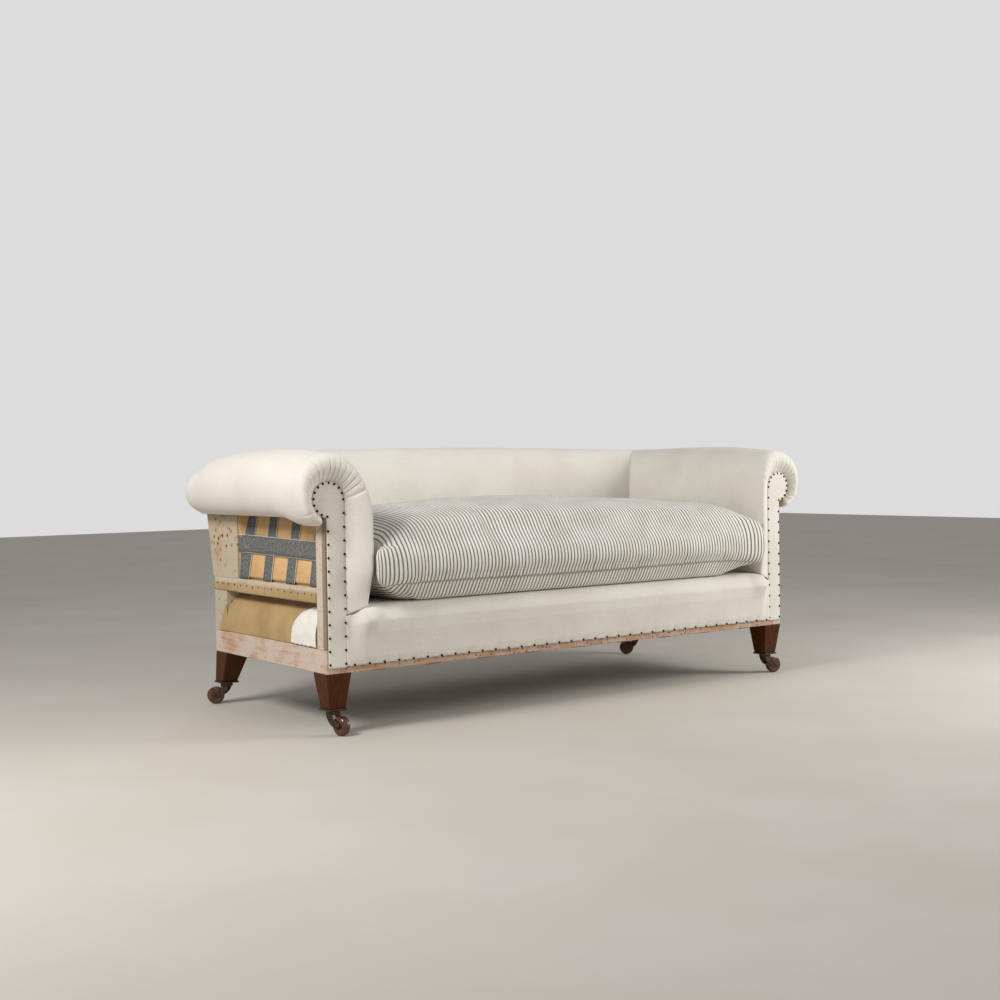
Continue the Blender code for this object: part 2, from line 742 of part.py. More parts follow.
def wheel_profile():
    """The barrel tread and the bore of a castor wheel."""
    half = WHEEL_WIDTH / 2
    over_facets = WHEEL_RADIUS / math.cos(math.pi / WHEEL_SIDES)
    rim = over_facets - WHEEL_SHOULDER / 3
    bore = AXLE_DIAMETER / 2 + AXLE_RUNNING_GAP
    tread = arc((rim - WHEEL_SHOULDER, half - WHEEL_SHOULDER), WHEEL_SHOULDER, WHEEL_SHOULDER, 90, 15, 3)
    lower = [(across, -up) for across, up in reversed(tread)]
    return [(bore, half), *tread, (over_facets, 0.0), *lower, (bore, -half)]


def axle_profile():
    """A riveted axle: a pin with a head outside each cheek."""
    shank = AXLE_DIAMETER / 2
    head = AXLE_HEAD_DIAMETER / 2
    seat = WHEEL_WIDTH / 2 + CHEEK_RUNNING_GAP + CHEEK_THICKNESS + FIT
    end = seat + AXLE_HEAD_THICKNESS
    middle = seat + AXLE_HEAD_THICKNESS / 2
    upper = [(0.0, end), (head * 0.7, end), (head, middle), (head, seat), (shank, seat)]
    lower = [(across, -up) for across, up in reversed(upper)]
    return upper + lower


def turn(part, sides):
    """Turns a profile about the part's own Z axis."""
    step = part.modifiers.new("turned", "SCREW")
    step.steps = sides
    step.render_steps = sides
    step.use_merge_vertices = True
    step.merge_threshold = 1e-6
    step.use_smooth_shade = True


def add_castors():
    """Four castors: each horn swivels on its plate and each wheel rolls on its axle."""
    plate_mesh = castor_plate_mesh()
    shared_horn = horn_mesh()
    wheel_mesh = profile_mesh("castor_wheel", wheel_profile(), True)
    axle_mesh = profile_mesh("castor_axle", axle_profile(), False)
    for corner, swivel in SWIVELS.items():
        axis = pintle_axis(corner)
        add_part(f"{corner}_castor_plate", plate_mesh, iron, axis)
        pivot = bpy.data.objects.new(f"{corner}_swivel", None)
        pivot.location = axis
        pivot.rotation_euler = (0.0, 0.0, math.radians(swivel))
        settee.objects.link(pivot)
        add_part(f"{corner}_castor_horn", shared_horn, iron, parent=pivot)
        hub = (TRAIL, 0.0, WHEEL_RADIUS)
        axle = add_part(f"{corner}_castor_axle", axle_mesh, iron, hub, pivot)
        wheel = add_part(f"{corner}_castor_wheel", wheel_mesh, ceramic, hub, pivot)
        for piece, sides in ((axle, ROUND_SIDES), (wheel, WHEEL_SIDES)):
            piece.rotation_euler = (math.radians(90), 0.0, 0.0)
            turn(piece, sides)


# Webbing, springs and canvas


def strap_lines(first, last, centres, width):
    """Sorted edges of parallel straps between two limits, with the limits themselves."""
    edges = [first, last]
    for centre in centres:
        edges += [centre - width / 2, centre + width / 2]
    return sorted(edges)


def on_strap(low, high, centres):
    """Whether a cell between two edges lies on one of the straps."""
    middle = (low + high) / 2
    return any(abs(middle - centre) < WEBBING_WIDTH / 2 for centre in centres)


def add_lattice(name, across, up, columns, rows, place):
    """Crossing straps as one mat: limits each way, strap centres, and a map to space."""
    shape = bmesh.new()
    column_edges = strap_lines(*across, columns, WEBBING_WIDTH)
    row_edges = strap_lines(*up, rows, WEBBING_WIDTH)
    corners = {}

    def corner(column, row):
        if (column, row) not in corners:
            corners[column, row] = shape.verts.new(place(column_edges[column], row_edges[row]))
        return corners[column, row]

    for column in range(len(column_edges) - 1):
        in_column = on_strap(column_edges[column], column_edges[column + 1], columns)
        for row in range(len(row_edges) - 1):
            if in_column or on_strap(row_edges[row], row_edges[row + 1], rows):
                square = ((column, row), (column + 1, row), (column + 1, row + 1), (column, row + 1))
                shape.faces.new([corner(*spot) for spot in square])
    mat = add_part(name, mesh_of(shape, name), webbing)
    step = mat.modifiers.new("strap thickness", "SOLIDIFY")
    step.thickness = WEBBING_THICKNESS
    step.offset = 0.0
    return mat


def spread(count, first, last):
    """Even places of a row, from its first to its last."""
    return [first + (last - first) * index / (count - 1) for index in range(count)]


def seat_strap_columns():
    """Places of the straps that run from front to back, from the side rails."""
    reach = RAIL_INNER - SEAT_STRAP_SIDE_MARGIN
    return spread(SEAT_STRAP_COLUMNS, -reach, reach)


def seat_strap_rows():
    """Places of the straps that run from side to side, from the front and back rails."""
    margin = SEAT_RAIL_THICKNESS + SEAT_STRAP_ROW_MARGIN
    return spread(SEAT_STRAP_ROWS, FRONT + margin, REAR - margin)


def add_seat_webbing():
    """Straps tacked under the seat rails."""
    level = UNDERSIDE - FIT - WEBBING_THICKNESS / 2
    reach = SIDE - STRAP_END_MARGIN
    along = (FRONT + STRAP_END_MARGIN, REAR - STRAP_END_MARGIN)
    add_lattice(
        "seat_webbing",
        (-reach, reach),
        along,
        seat_strap_columns(),
        seat_strap_rows(),
        lambda across, run: (across, run, level),
    )


def arm_strap_line():
    """The lean of an arm's straps: the low and high ends, as a half width and a height."""
    half = WEBBING_THICKNESS / 2
    low = (SIDE - STUFFING_RAIL_THICKNESS / 2, STUFFING_TOP + FIT + half)
    high = (TOP_RAIL_INNER - FIT - half, TOP_RAIL_BOTTOM + EDGE_SOFTENING)
    return low, high


def add_arm_webbing():
    """Upright straps with one band across, in the open outside of each arm."""
    low, high = arm_strap_line()
    run = (POST_BACK + FIT, BACK_POST_FRONT - FIT)
    first = POST_BACK + ARM_STRAP_FRONT_MARGIN
    last = BACK_POST_FRONT - ARM_STRAP_REAR_MARGIN
    columns = spread(ARM_STRAPS, first, last)
    rise = high[1] - low[1]
    band = RAIL_TOP + ARM_STRAP_BAND_HEIGHT - low[1]
    for name, side in SIDES.items():

        def place(along, up, side=side):
            share = up / rise
            return (side * (low[0] + (high[0] - low[0]) * share), along, low[1] + up)

        mat = add_lattice(f"{name}_arm_webbing", run, (0.0, rise), columns, [band], place)
        mat.modifiers["strap thickness"].use_even_offset = True


def add_back_webbing():
    """Upright straps with one band across, from the back stuffing rail to the front of the top rail."""
    half = WEBBING_THICKNESS / 2
    low = (BACK_STUFFING_REAR - STUFFING_RAIL_THICKNESS / 2, STUFFING_TOP + FIT + half)
    high = (BACK_TOP_RAIL_FRONT - FIT - half, TOP_RAIL_BOTTOM + EDGE_SOFTENING)
    rise = high[1] - low[1]
    reach = BACK_POST_INNER - FIT
    band = RAIL_TOP + ARM_STRAP_BAND_HEIGHT - low[1]

    def place(across, up):
        share = up / rise
        return (across, low[0] + (high[0] - low[0]) * share, low[1] + up)

    outermost = BACK_POST_INNER - BACK_STRAP_SIDE_MARGIN
    columns = spread(BACK_STRAPS, -outermost, outermost)
    add_lattice("back_webbing", (-reach, reach), (0.0, rise), columns, [band], place)


def spring_points():
    """The line of an hourglass spring's wire, from its flat bottom turn to its flat top turn."""
    low = FIT + SPRING_WIRE / 2
    high = SPRING_CANVAS_BOTTOM - SPRING_SEAT - FIT - SPRING_WIRE / 2
    rising = SPRING_TURNS - 2 * SPRING_FLAT_TURNS
    count = round(SPRING_TURNS * SPRING_POINTS_PER_TURN)
    points = []
    for index in range(count + 1):
        turned = SPRING_TURNS * index / count
        share = min(max((turned - SPRING_FLAT_TURNS) / rising, 0.0), 1.0)
        waist = math.sin(math.pi * share)
        radius = SPRING_END_RADIUS + (SPRING_WAIST_RADIUS - SPRING_END_RADIUS) * waist
        angle = 2 * math.pi * turned
        height = low + (high - low) * share
        points.append(Vector((radius * math.cos(angle), radius * math.sin(angle), height)))
    start_run = (points[0] - points[1]).normalized() * SPRING_WIRE
    end_run = (points[-1] - points[-2]).normalized() * SPRING_WIRE
    return [points[0] + start_run, *points, points[-1] + end_run]


def least_gap(points):
    """The least clear gap between turns of a spring's wire, measured on its points."""
    skip = SPRING_POINTS_PER_TURN // 2
    gaps = []
    for index, point in enumerate(points):
        for other in points[index + skip :]:
            gaps.append((point - other).length - SPRING_WIRE)
    return min(gaps)


def spring_mesh():
    """One spring as a single unbroken tube."""
    points = spring_points()
    print(f"least gap between turns of a seat spring: {least_gap(points) * 1000:.1f} mm")
    curve = bpy.data.curves.new("spring", "CURVE")
    curve.dimensions = "3D"
    curve.bevel_depth = SPRING_WIRE / 2
    curve.bevel_resolution = 1
    curve.use_fill_caps = True
    curve.resolution_u = 1
    spline = curve.splines.new("POLY")
    spline.points.add(len(points) - 1)
    for spot, point in zip(spline.points, points):
        spot.co = (*point, 1.0)
    drawn = bpy.data.objects.new("spring line", curve)
    cutters.objects.link(drawn)
    mesh = finished_mesh(drawn, "seat_spring")
    bpy.data.objects.remove(drawn, do_unlink=True)
    mesh.shade_smooth()
    return mesh


def add_springs():
    """Two rows of hourglass springs, each sewn where two straps cross."""
    mesh = spring_mesh()
    rows = seat_strap_rows()
    columns = seat_strap_columns()[1::2]
    for row_name, along in (("front", rows[0]), ("back", rows[-1])):
        for number, across in enumerate(columns, start=1):
            add_part(f"{row_name}_seat_spring_{number}", mesh, steel, (across, along, SPRING_SEAT))


def add_seat_canvas():
    """The hessian sheet that lies over the springs."""
    low = (-BORDER_HALF, FRONT + SEAT_RAIL_THICKNESS + FIT, SPRING_CANVAS_BOTTOM)
    high = (BORDER_HALF, REAR - SEAT_RAIL_THICKNESS - FIT, SPRING_CANVAS_TOP)
    size = Vector(high) - Vector(low)
    centre = (Vector(low) + Vector(high)) / 2
    add_part("seat_canvas", mesh_of(box_shape(size), "seat_canvas"), hessian, centre)


def thick_path(points, thickness):
    """The outline of a strip of even thickness along a path in a plane."""
    path = [Vector(point) for point in points]
    left = []
    right = []
    for index, spot in enumerate(path):
        before = path[max(index - 1, 0)]
        after = path[min(index + 1, len(path) - 1)]
        into = (spot - before).normalized() if index else (after - spot).normalized()
        out = (after - spot).normalized() if index < len(path) - 1 else into
        run = (into + out).normalized()
        square = Vector((-run.y, run.x))
        stretch = 1.0 / max(square.dot(Vector((-into.y, into.x))), 0.5)
        left.append(tuple(spot + square * thickness / 2 * stretch))
        right.append(tuple(spot - square * thickness / 2 * stretch))
    return left + right[::-1]


def add_arm_canvas():
    """Hessian inside each arm's webbing, wrapped under the stuffing rail and up its outside."""
    low, high = arm_strap_line()
    step = WEBBING_THICKNESS / 2 + CANVAS_THICKNESS / 2 + FIT
    half = CANVAS_THICKNESS / 2 + FIT
    inner = SIDE - STUFFING_RAIL_THICKNESS - half
    path = [
        (high[0] - step, TOP_RAIL_TOP),
        (high[0] - step, high[1]),
        (inner, STUFFING_TOP + step),
        (inner, STUFFING_BOTTOM - half),
        (SIDE + half, STUFFING_BOTTOM - half),
        (SIDE + half, STUFFING_BOTTOM + TAIL_RISE),
    ]
    length = BACK_POST_FRONT - POST_BACK - 2 * FIT
    middle = (BACK_POST_FRONT + POST_BACK) / 2
    for name, side in SIDES.items():
        outline = [(side * across, up) for across, up in thick_path(path, CANVAS_THICKNESS)]
        shape = outline_shape(outline, length)
        shape.transform(UPRIGHT_ACROSS)
        add_part(f"{name}_arm_canvas", mesh_of(shape, f"{name}_arm_canvas"), hessian, (0.0, middle, 0.0))


# Stuffed arms, back and seat


def roll_outer(thickness, depth):
    """The padded face, shoulder, roll and underside, as distances out from the face and heights."""
    shoulder = ROLL_TOP - SHOULDER_DROP
    middle = ROLL_TOP - ROLL_MIDDLE_DROP
    top_out = thickness * 0.515
    end_out = thickness * 0.69
    points = []
    for index in range(4):
        share = index / 4
        points.append((PAD_TUCK * (1 - share) ** 2, PAD_BOTTOM + (shoulder - PAD_BOTTOM) * share))
    points += arc((top_out, shoulder), top_out, SHOULDER_DROP, 180, 90, 6)[:-1]
    points += arc((top_out, middle), thickness - top_out, ROLL_MIDDLE_DROP, 90, 0, 5)[:-1]
    points += arc((end_out, middle), thickness - end_out, depth - ROLL_MIDDLE_DROP, 0, -90, 4)
    return points


def roll_inner(low_in, top_in, out, end_height):
    """The hollow that the rails fill: up from the deck, over the top rail and down outside it."""
    shoulder = ROLL_TOP - SHOULDER_DROP
    ceiling = TOP_RAIL_TOP + PAD_FIT
    half_height = (ceiling + end_height) / 2
    heights = [PAD_BOTTOM + (shoulder - PAD_BOTTOM) * index / 4 for index in range(5)]
    lean_start = min(height for height in heights if height > STUFFING_TOP)
    points = []
    for height in heights:
        share = max(height - lean_start, 0.0) / (ceiling - lean_start)
        points.append((low_in + (top_in - low_in) * share, height))
    at_shoulder = points.pop()
    middle = (top_in + out) / 2
    points += [between(at_shoulder, (top_in, ceiling), index / 3) for index in range(3)]
    points += [between((top_in, ceiling), (middle, ceiling), index / 3) for index in range(3)]
    points += [between((middle, ceiling), (out, ceiling), index / 3) for index in range(3)]
    points += [between((out, ceiling), (out, half_height), index / 2) for index in range(2)]
    points += [between((out, half_height), (out, end_height), index / 4) for index in range(5)]
    return points


def nail_line():
    """The edge of the scroll facing that the padding meets, in step with the padded face."""
    shoulder = ROLL_TOP - SHOULDER_DROP
    radius = (SCROLL_RADIUS + PAD_FIT) / math.cos(math.radians(90 / 8))
    centre = SCROLL_X - ARM_FACE
    stem = centre - radius
    points = []
    for index in range(4):
        points.append((stem, PAD_BOTTOM + (shoulder - PAD_BOTTOM) * index / 4))
    points += [between((stem, shoulder), (stem, SCROLL_HEIGHT), index / 2) for index in range(2)]
    points += arc((centre, SCROLL_HEIGHT), radius, radius, 180, 90, 4)[:-1]
    points += arc((centre, SCROLL_HEIGHT), radius, radius, 90, 0, 5)[:-1]
    points += arc((centre, SCROLL_HEIGHT), radius, radius, 0, -56, 4)
    return points


def crown_share(height):
    """How far a point is up the roll, from none at the shoulder to all at the top."""
    shoulder = ROLL_TOP - SHOULDER_DROP
    return min(max((height - shoulder) / SHOULDER_DROP, 0.0), 1.0)


def raised(point):
    """A point of the arm's outside as it is behind the scroll, where the underside is higher."""
    if point[0] < 0.6 * ARM_THICKNESS:
        return point
    below = max(ROLL_TOP - ROLL_MIDDLE_DROP - point[1], 0.0)
    return (point[0], point[1] + ROLL_LIFT * below / (ROLL_DEPTH - ROLL_MIDDLE_DROP))


def mitred(out, hollow, thickness):
    """A distance out from the face, drawn in where the roll turns the corner, but not into the hollow."""
    start = 0.4 * thickness
    if out <= start:
        return out
    drawn = start + (out - start) * (1 - CORNER_CUT / 0.6)
    return max(drawn, hollow + PAD_FIT) if out > hollow else drawn


def turn_share(out, thickness):
    """How much of the corner's rounding reaches a point of the section."""
    return min(max((out / thickness - 0.3) / 0.7, 0.0), 1.0)


def arm_loop(side, outer, inner, nail, back_hollow, station):
    """The closed line round the arm's padding at one place of its section."""
    reach = math.dist(outer, nail)
    bulge = FRONT_BULGE + (SCROLL_BULGE - FRONT_BULGE) * station
    rounding = FRONT_ROUNDING + (SCROLL_ROUNDING - FRONT_ROUNDING) * min(2 * station, 1.0)
    bulge = min(bulge, 0.6 * reach)
    rounding = min(rounding, 0.8 * reach)
    crest = 0.45
    square = 0.6
    scale = BACK_THICKNESS / ARM_THICKNESS
    behind = raised(outer)

    def spot(point, along, rise=0.0):
        return (side * (ARM_FACE + point[0]), along, point[1] + rise)

    loop = [spot(nail, FRONT - FIT)]
    for angle in (40, 75):
        turned = math.radians(angle)
        share = crest * (1 - math.cos(turned) ** square)
        loop.append(spot(between(nail, outer, share), FRONT - bulge * math.sin(turned) ** square))
    for angle in (20, 45, 68):
        turned = math.radians(angle)
        share = crest + (1 - crest) * math.sin(turned) ** square
        along = FRONT - bulge + (bulge + rounding) * (1 - math.cos(turned) ** square)
        loop.append(spot(between(nail, outer, share), along))
    loop.append(spot(outer, FRONT + rounding))
    drawn = mitred(outer[0], inner[0], ARM_THICKNESS)
    corner = BACK_FACE + drawn * scale - FIT
    start = corner - CORNER_ROUNDING * turn_share(outer[0], ARM_THICKNESS)
    first = FRONT + rounding
    for share in (0.33, 0.66):
        lift = ARM_CROWN * crown_share(outer[1]) * math.sin(math.pi * share)
        loop.append(spot(behind, first + (start - first) * share, lift))
    loop.append(spot(behind, start - FIT))
    loop.append(spot(between(behind, (drawn, behind[1]), 0.25), (start + corner) / 2))
    loop.append(spot((drawn, behind[1]), corner))
    inner_end = min(inner[0] * scale, back_hollow)
    meeting = between((drawn, behind[1]), inner, 0.5)
    if inner_end < inner[0] * scale:
        meeting = (inner_end / scale, inner[1])
    loop.append(spot(meeting, BACK_FACE + meeting[0] * scale - FIT))
    loop.append(spot(inner, BACK_FACE + inner_end - FIT))
    loop.append(spot(inner, POST_BACK + PAD_FIT))
    loop.append(spot(nail, POST_BACK + PAD_FIT))
    return loop


def add_arm_pads():
    """Each arm's stuffing under calico, rolled over the top rail and rounded to the scroll in front."""
    outer = roll_outer(ARM_THICKNESS, ROLL_DEPTH)
    lean = arm_strap_line()[1][0] - WEBBING_THICKNESS / 2 - CANVAS_THICKNESS - 3 * FIT - PAD_FIT
    end_height = ROLL_TOP - ROLL_DEPTH + ROLL_LIFT + PAD_FIT * 4
    hollow_in = min(lean, BACK_POST_INNER - PAD_FIT) - ARM_FACE
    hollow_out = TOP_RAIL_OUTER + PAD_FIT - ARM_FACE
    inner = roll_inner(hollow_in, hollow_in, hollow_out, end_height)
    back_hollow = [point[0] for point in back_inner()]
    stations = list(zip(outer, inner, nail_line(), back_hollow))
    last = len(stations) - 1
    for name, side in SIDES.items():
        loops = [arm_loop(side, *station, index / last) for index, station in enumerate(stations)]
        mesh = mesh_of(loft_shape(loops), f"{name}_arm_pad", 50)
        add_part(f"{name}_arm_pad", mesh, calico)


def back_inner():
    """The hollow of the back, from in front of its stuffing rail to behind its top rail."""
    low_in = BACK_STUFFING_FRONT - PAD_FIT - BACK_FACE
    end_height = ROLL_TOP - ROLL_DEPTH + ROLL_LIFT + PAD_FIT * 4
    hollow_out = BACK_POST_REAR_TOP + PAD_FIT - BACK_FACE
    return roll_inner(low_in, back_top_in(), hollow_out, end_height)


def back_top_in():
    """How far the back's hollow is behind its face at the top rail."""
    return BACK_TOP_RAIL_FRONT - WEBBING_THICKNESS - 2 * FIT - PAD_FIT - BACK_FACE


def back_loop(outer, inner):
    """The closed line round the back's padding at one place of its section."""
    scale = ARM_THICKNESS / BACK_THICKNESS
    drawn = mitred(outer[0], inner[0], BACK_THICKNESS)
    corner = ARM_FACE + drawn * scale - FIT
    start = corner - CORNER_ROUNDING * turn_share(outer[0], BACK_THICKNESS) - FIT
    halfway = between(outer, (drawn, outer[1]), 0.25)

    def spot(across, point, rise=0.0):
        return (across, BACK_FACE + point[0], point[1] + rise)

    left = [spot(-corner, (drawn, outer[1])), spot(-(start + corner) / 2, halfway)]
    middle = []
    for share in (0.0, 0.15, 0.35, 0.5, 0.65, 0.85, 1.0):
        lift = BACK_CROWN * crown_share(outer[1]) * math.sin(math.pi * share) ** 0.7
        middle.append(spot(-start + 2 * start * share, outer, lift))
    right = [spot((start + corner) / 2, halfway), spot(corner, (drawn, outer[1]))]
    end = ARM_FACE + inner[0] * scale - FIT
    if inner[0] <= back_top_in():
        end = min(end, BACK_POST_INNER - PAD_FIT)
    return [*left, *middle, *right, spot(end, inner), spot(-end, inner)]


def add_back_pad():
    """The back's stuffing under calico, mitred into both arms."""
    outer = roll_outer(BACK_THICKNESS, ROLL_DEPTH - ROLL_LIFT)
    loops = [back_loop(*pair) for pair in zip(outer, back_inner())]
    add_part("back_pad", mesh_of(loft_shape(loops), "back_pad", 50), calico)


def add_facings():
    """A calico panel on the front of each scroll post and rail end."""
    for name, side in SIDES.items():
        bottom = UNDERSIDE + BORDER_TACK_HEIGHT - EDGE_SOFTENING
        outline = scroll_outline(
            SIDE - FACING_WOOD_MARGIN,
            POST_INNER + FACING_INSET,
            bottom,
            SCROLL_RADIUS - FACING_INSET,
        )
        shape = outline_shape([(side * across, up) for across, up in outline], FACING_THICKNESS)
        shape.transform(UPRIGHT_ACROSS)
        place = (0.0, FRONT - FIT - FACING_THICKNESS / 2, 0.0)
        add_part(f"{name}_facing", mesh_of(shape, f"{name}_facing", 30), calico, place)


def seat_pad_outline():
    """The stuffed seat from the side: a bulging front border, a flat deck and a rear edge."""
    bulge_height = DECK_TOP - BORDER_BULGE_DROP
    tack_height = UNDERSIDE + BORDER_TACK_HEIGHT
    bulge_centre = (FRONT - FACING_THICKNESS, bulge_height)
    border = arc(bulge_centre, BORDER_BULGE, bulge_height - tack_height, 270, 180, 5)
    nose = FRONT - FACING_THICKNESS - BORDER_BULGE
    rounded = arc((nose + DECK_ROUNDING, bulge_height), DECK_ROUNDING, BORDER_BULGE_DROP, 180, 90, 6)[1:]
    rear_centre = (REAR - FIT - REAR_ROUNDING, DECK_TOP - REAR_ROUNDING)
    rear = arc(rear_centre, REAR_ROUNDING, REAR_ROUNDING, 90, 0, 3)
    underside = SPRING_CANVAS_TOP + FIT
    foot = RAIL_TOP + FIT
    front_inner = FRONT + SEAT_RAIL_THICKNESS
    rear_inner = REAR - SEAT_RAIL_THICKNESS
    return [
        *border,
        *rounded,
        *rear,
        (REAR - FIT, foot),
        (rear_inner, foot),
        (rear_inner, underside),
        (front_inner, underside),
        (front_inner, foot),
        (FRONT - FIT, foot),
        (FRONT - FIT, tack_height),
    ]


def add_seat_pad():
    """The stuffed deck between the front posts, standing on the front and back rails."""
    shape = outline_shape(seat_pad_outline(), 2 * (BORDER_HALF - FIT))
    shape.transform(UPRIGHT_ALONG)
    add_part("seat_pad", mesh_of(shape, "seat_pad", 40), calico)


def add_seat_rolls():
    """The hessian bulge of the seat's stuffing over each side rail."""
    foot = RAIL_TOP + FIT
    inside = POST_INNER
    crest = arc((inside, foot + SEAT_ROLL_HEIGHT * 0.3), SIDE - inside, SEAT_ROLL_HEIGHT * 0.7, 0, 90, 7)
    outline = [(inside, foot), (SIDE - EDGE_SOFTENING, foot), *crest]
    front = POST_BACK + FIT
    rear = REAR - BACK_POST_FOOT - FIT
    for name, side in SIDES.items():
        shape = outline_shape([(side * across, up) for across, up in outline], rear - front)
        shape.transform(UPRIGHT_ACROSS)
        place = (0.0, (front + rear) / 2, 0.0)
        add_part(f"{name}_seat_roll", mesh_of(shape, f"{name}_seat_roll", 40), hessian, place)


def add_cushion():
    """A loose boxed cushion, crowned on top, with drawn-in sides and full corners."""
    shape = bmesh.new()
    bmesh.ops.create_cube(shape, size=2.0)
    bmesh.ops.subdivide_edges(shape, edges=shape.edges[:], cuts=CUSHION_CUTS, use_grid_fill=True)
    front = FRONT - CUSHION_OVERHANG
    rear = BACK_FACE - CUSHION_BACK_GAP
    half_width = ARM_FACE - CUSHION_SIDE_GAP
    half_depth = (rear - front) / 2
    for vert in shape.verts:
        across, along, up = vert.co
        swell = 1 - up * up
        rounded = CUSHION_SIDE_BULGE * (1 - swell)
        reach_x = half_width - rounded - CUSHION_DRAW_IN * (1 - along * along)
        reach_y = half_depth - rounded - CUSHION_DRAW_IN * (1 - across * across) * up * up
        corner = CUSHION_CORNER * (across * along) ** 6
        flat = (1 - across**2) * (1 - along**2)
        low = CUSHION_LOW_SEAM * (1 - (1 - across**8) * (1 - along**8))
        high = CUSHION_TOP_SEAM + (CUSHION_HEIGHT - CUSHION_TOP_SEAM) * flat**0.6
        vert.co = (
            across * (reach_x - corner),
            along * (reach_y - corner),
            low + (high - low) * (up + 1) / 2,
        )
    mesh = mesh_of(shape, "seat_cushion", 50)
    add_part("seat_cushion", mesh, ticking, (0.0, (front + rear) / 2, DECK_TOP + FIT))


clear_scene()
settee = make_collection("chesterfield settee")
cutters = make_collection("cutters")
beech = make_finish("washed beech", (0.62, 0.46, 0.34), 0.75)
mahogany = make_finish("polished mahogany", (0.16, 0.055, 0.022), 0.35)
iron = make_finish("browned iron", (0.09, 0.075, 0.065), 0.5, 0.9)
ceramic = make_finish("brown glazed ceramic", (0.16, 0.035, 0.022), 0.2)
steel = make_finish("coppered spring steel", (0.32, 0.19, 0.12), 0.4, 0.9)
webbing = make_finish("black and white webbing", (0.22, 0.23, 0.25), 0.9)
hessian = make_finish("hessian", (0.55, 0.36, 0.15), 0.95)
calico = make_finish("unbleached calico", (0.80, 0.74, 0.64), 0.9)
ticking = make_finish("striped ticking", (0.66, 0.66, 0.64), 0.9)

add_seat_rails()
add_front_posts()
add_back_posts()
add_arm_rails()
add_back_rails()
add_corner_blocks()
for place in SWIVELS:
    add_leg(place)
add_castors()
add_seat_webbing()
add_arm_webbing()
add_back_webbing()
add_springs()
add_seat_canvas()
add_arm_canvas()
add_seat_rolls()
add_seat_pad()
add_arm_pads()
add_back_pad()
add_facings()
add_cushion()
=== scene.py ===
"""Looks of the stripped settee: calico, ticking, webbing, washed beech and castors round its CAD frame.

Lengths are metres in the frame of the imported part: +X to the right from the front, +Y to the back, +Z up.
"""

import logging
import math
from collections.abc import Callable, Iterable, Mapping, Sequence
from dataclasses import dataclass, field
from enum import Enum
from typing import Any

import bmesh
import bpy
from mathutils import Matrix, Vector, noise


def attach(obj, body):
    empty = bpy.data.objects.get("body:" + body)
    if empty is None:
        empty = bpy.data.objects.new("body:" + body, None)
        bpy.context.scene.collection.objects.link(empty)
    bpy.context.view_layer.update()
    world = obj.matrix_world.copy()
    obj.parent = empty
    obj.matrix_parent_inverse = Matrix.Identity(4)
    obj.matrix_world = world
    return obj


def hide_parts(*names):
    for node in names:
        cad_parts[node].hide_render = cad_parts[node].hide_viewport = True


log = logging.getLogger("settee")

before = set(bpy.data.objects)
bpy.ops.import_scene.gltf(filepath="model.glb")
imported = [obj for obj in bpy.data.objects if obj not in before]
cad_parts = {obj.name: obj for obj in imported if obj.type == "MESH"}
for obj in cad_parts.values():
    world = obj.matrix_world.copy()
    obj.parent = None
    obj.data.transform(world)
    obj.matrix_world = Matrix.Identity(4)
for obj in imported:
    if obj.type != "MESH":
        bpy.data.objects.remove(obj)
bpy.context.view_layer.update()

CLOTH_MAP = "cloth"
# Point attribute that marks the cushion's seam, where the ticking paints the shade of its groove
SEAM_SHADE_MARK = "seam"
CORNERS = ("front_left", "front_right", "rear_left", "rear_right")
SPRING_NAMES = [f"{row}_seat_spring_{number}" for row in ("front", "back") for number in range(1, 5)]
FORWARD = Vector((0.0, -1.0, 0.0))
# Points closer than this are welded into one
WELD = 1e-5

Point = tuple[float, float]
Place = tuple[float, float, float]
Shape = bmesh.types.BMesh
Vert = bmesh.types.BMVert
Piece = bpy.types.Object
Material = bpy.types.Material
Socket = bpy.types.NodeSocket


class Side(Enum):
    """The two arms, with the sign of their half of the settee."""

    LEFT = -1
    RIGHT = 1

    @property
    def word(self) -> str:
        """The side's name as the CAD nodes spell it."""
        return self.name.lower()


class Grain(Enum):
    """The axis that the grain of a piece of timber runs along."""

    X = 0
    Y = 1
    Z = 2


@dataclass(frozen=True)
class Layout:
    """Planes and heights of the CAD frame that the soft pieces are fitted to."""

    front: float = -0.3575
    rear: float = 0.3025
    side: float = 0.852
    post_inner: float = 0.796
    post_back: float = -0.3095
    back_post_front: float = 0.1505
    back_post_inner: float = 0.812
    scroll_x: float = 0.841
    scroll_height: float = 0.6146
    arm_face: float = 0.722
    back_face: float = 0.2375
    rail_top: float = 0.2256
    deck_top: float = 0.3371
    pad_bottom: float = 0.3374
    stuffing_bottom: float = 0.3456
    stuffing_top: float = 0.3836
    border_half: float = 0.7942
    fit: float = 0.0003


PLAN = Layout()


# Shares, colours and paths


def held(share: float) -> float:
    """A share held between none and all."""
    return min(max(share, 0.0), 1.0)


def eased(share: float) -> float:
    """A share held between none and all, eased at both ends."""
    part = held(share)
    return part * part * (3.0 - 2.0 * part)


def part_of(value: float, first: float, last: float) -> float:
    """How far a value is from the first to the last, which is 0 at the first and 1 at the last."""
    return (value - first) / (last - first)


def within(value: float, span: Point) -> float:
    """How far a value is into a span, eased at both ends, from none before it to all beyond it."""
    return eased(part_of(value, *span))


def toward(first: float, last: float, share: float) -> float:
    """The value at a share of the way from the first to the last."""
    return first + (last - first) * share


def between(first: Sequence[float], second: Sequence[float], share: float) -> tuple[float, ...]:
    """The point at a share of the way from one point to another."""
    return tuple(toward(a, b, share) for a, b in zip(first, second))


def spaced(first: float, last: float, count: int) -> list[float]:
    """Values at even steps from the first to the last."""
    return [first + (last - first) * index / (count - 1) for index in range(count)]


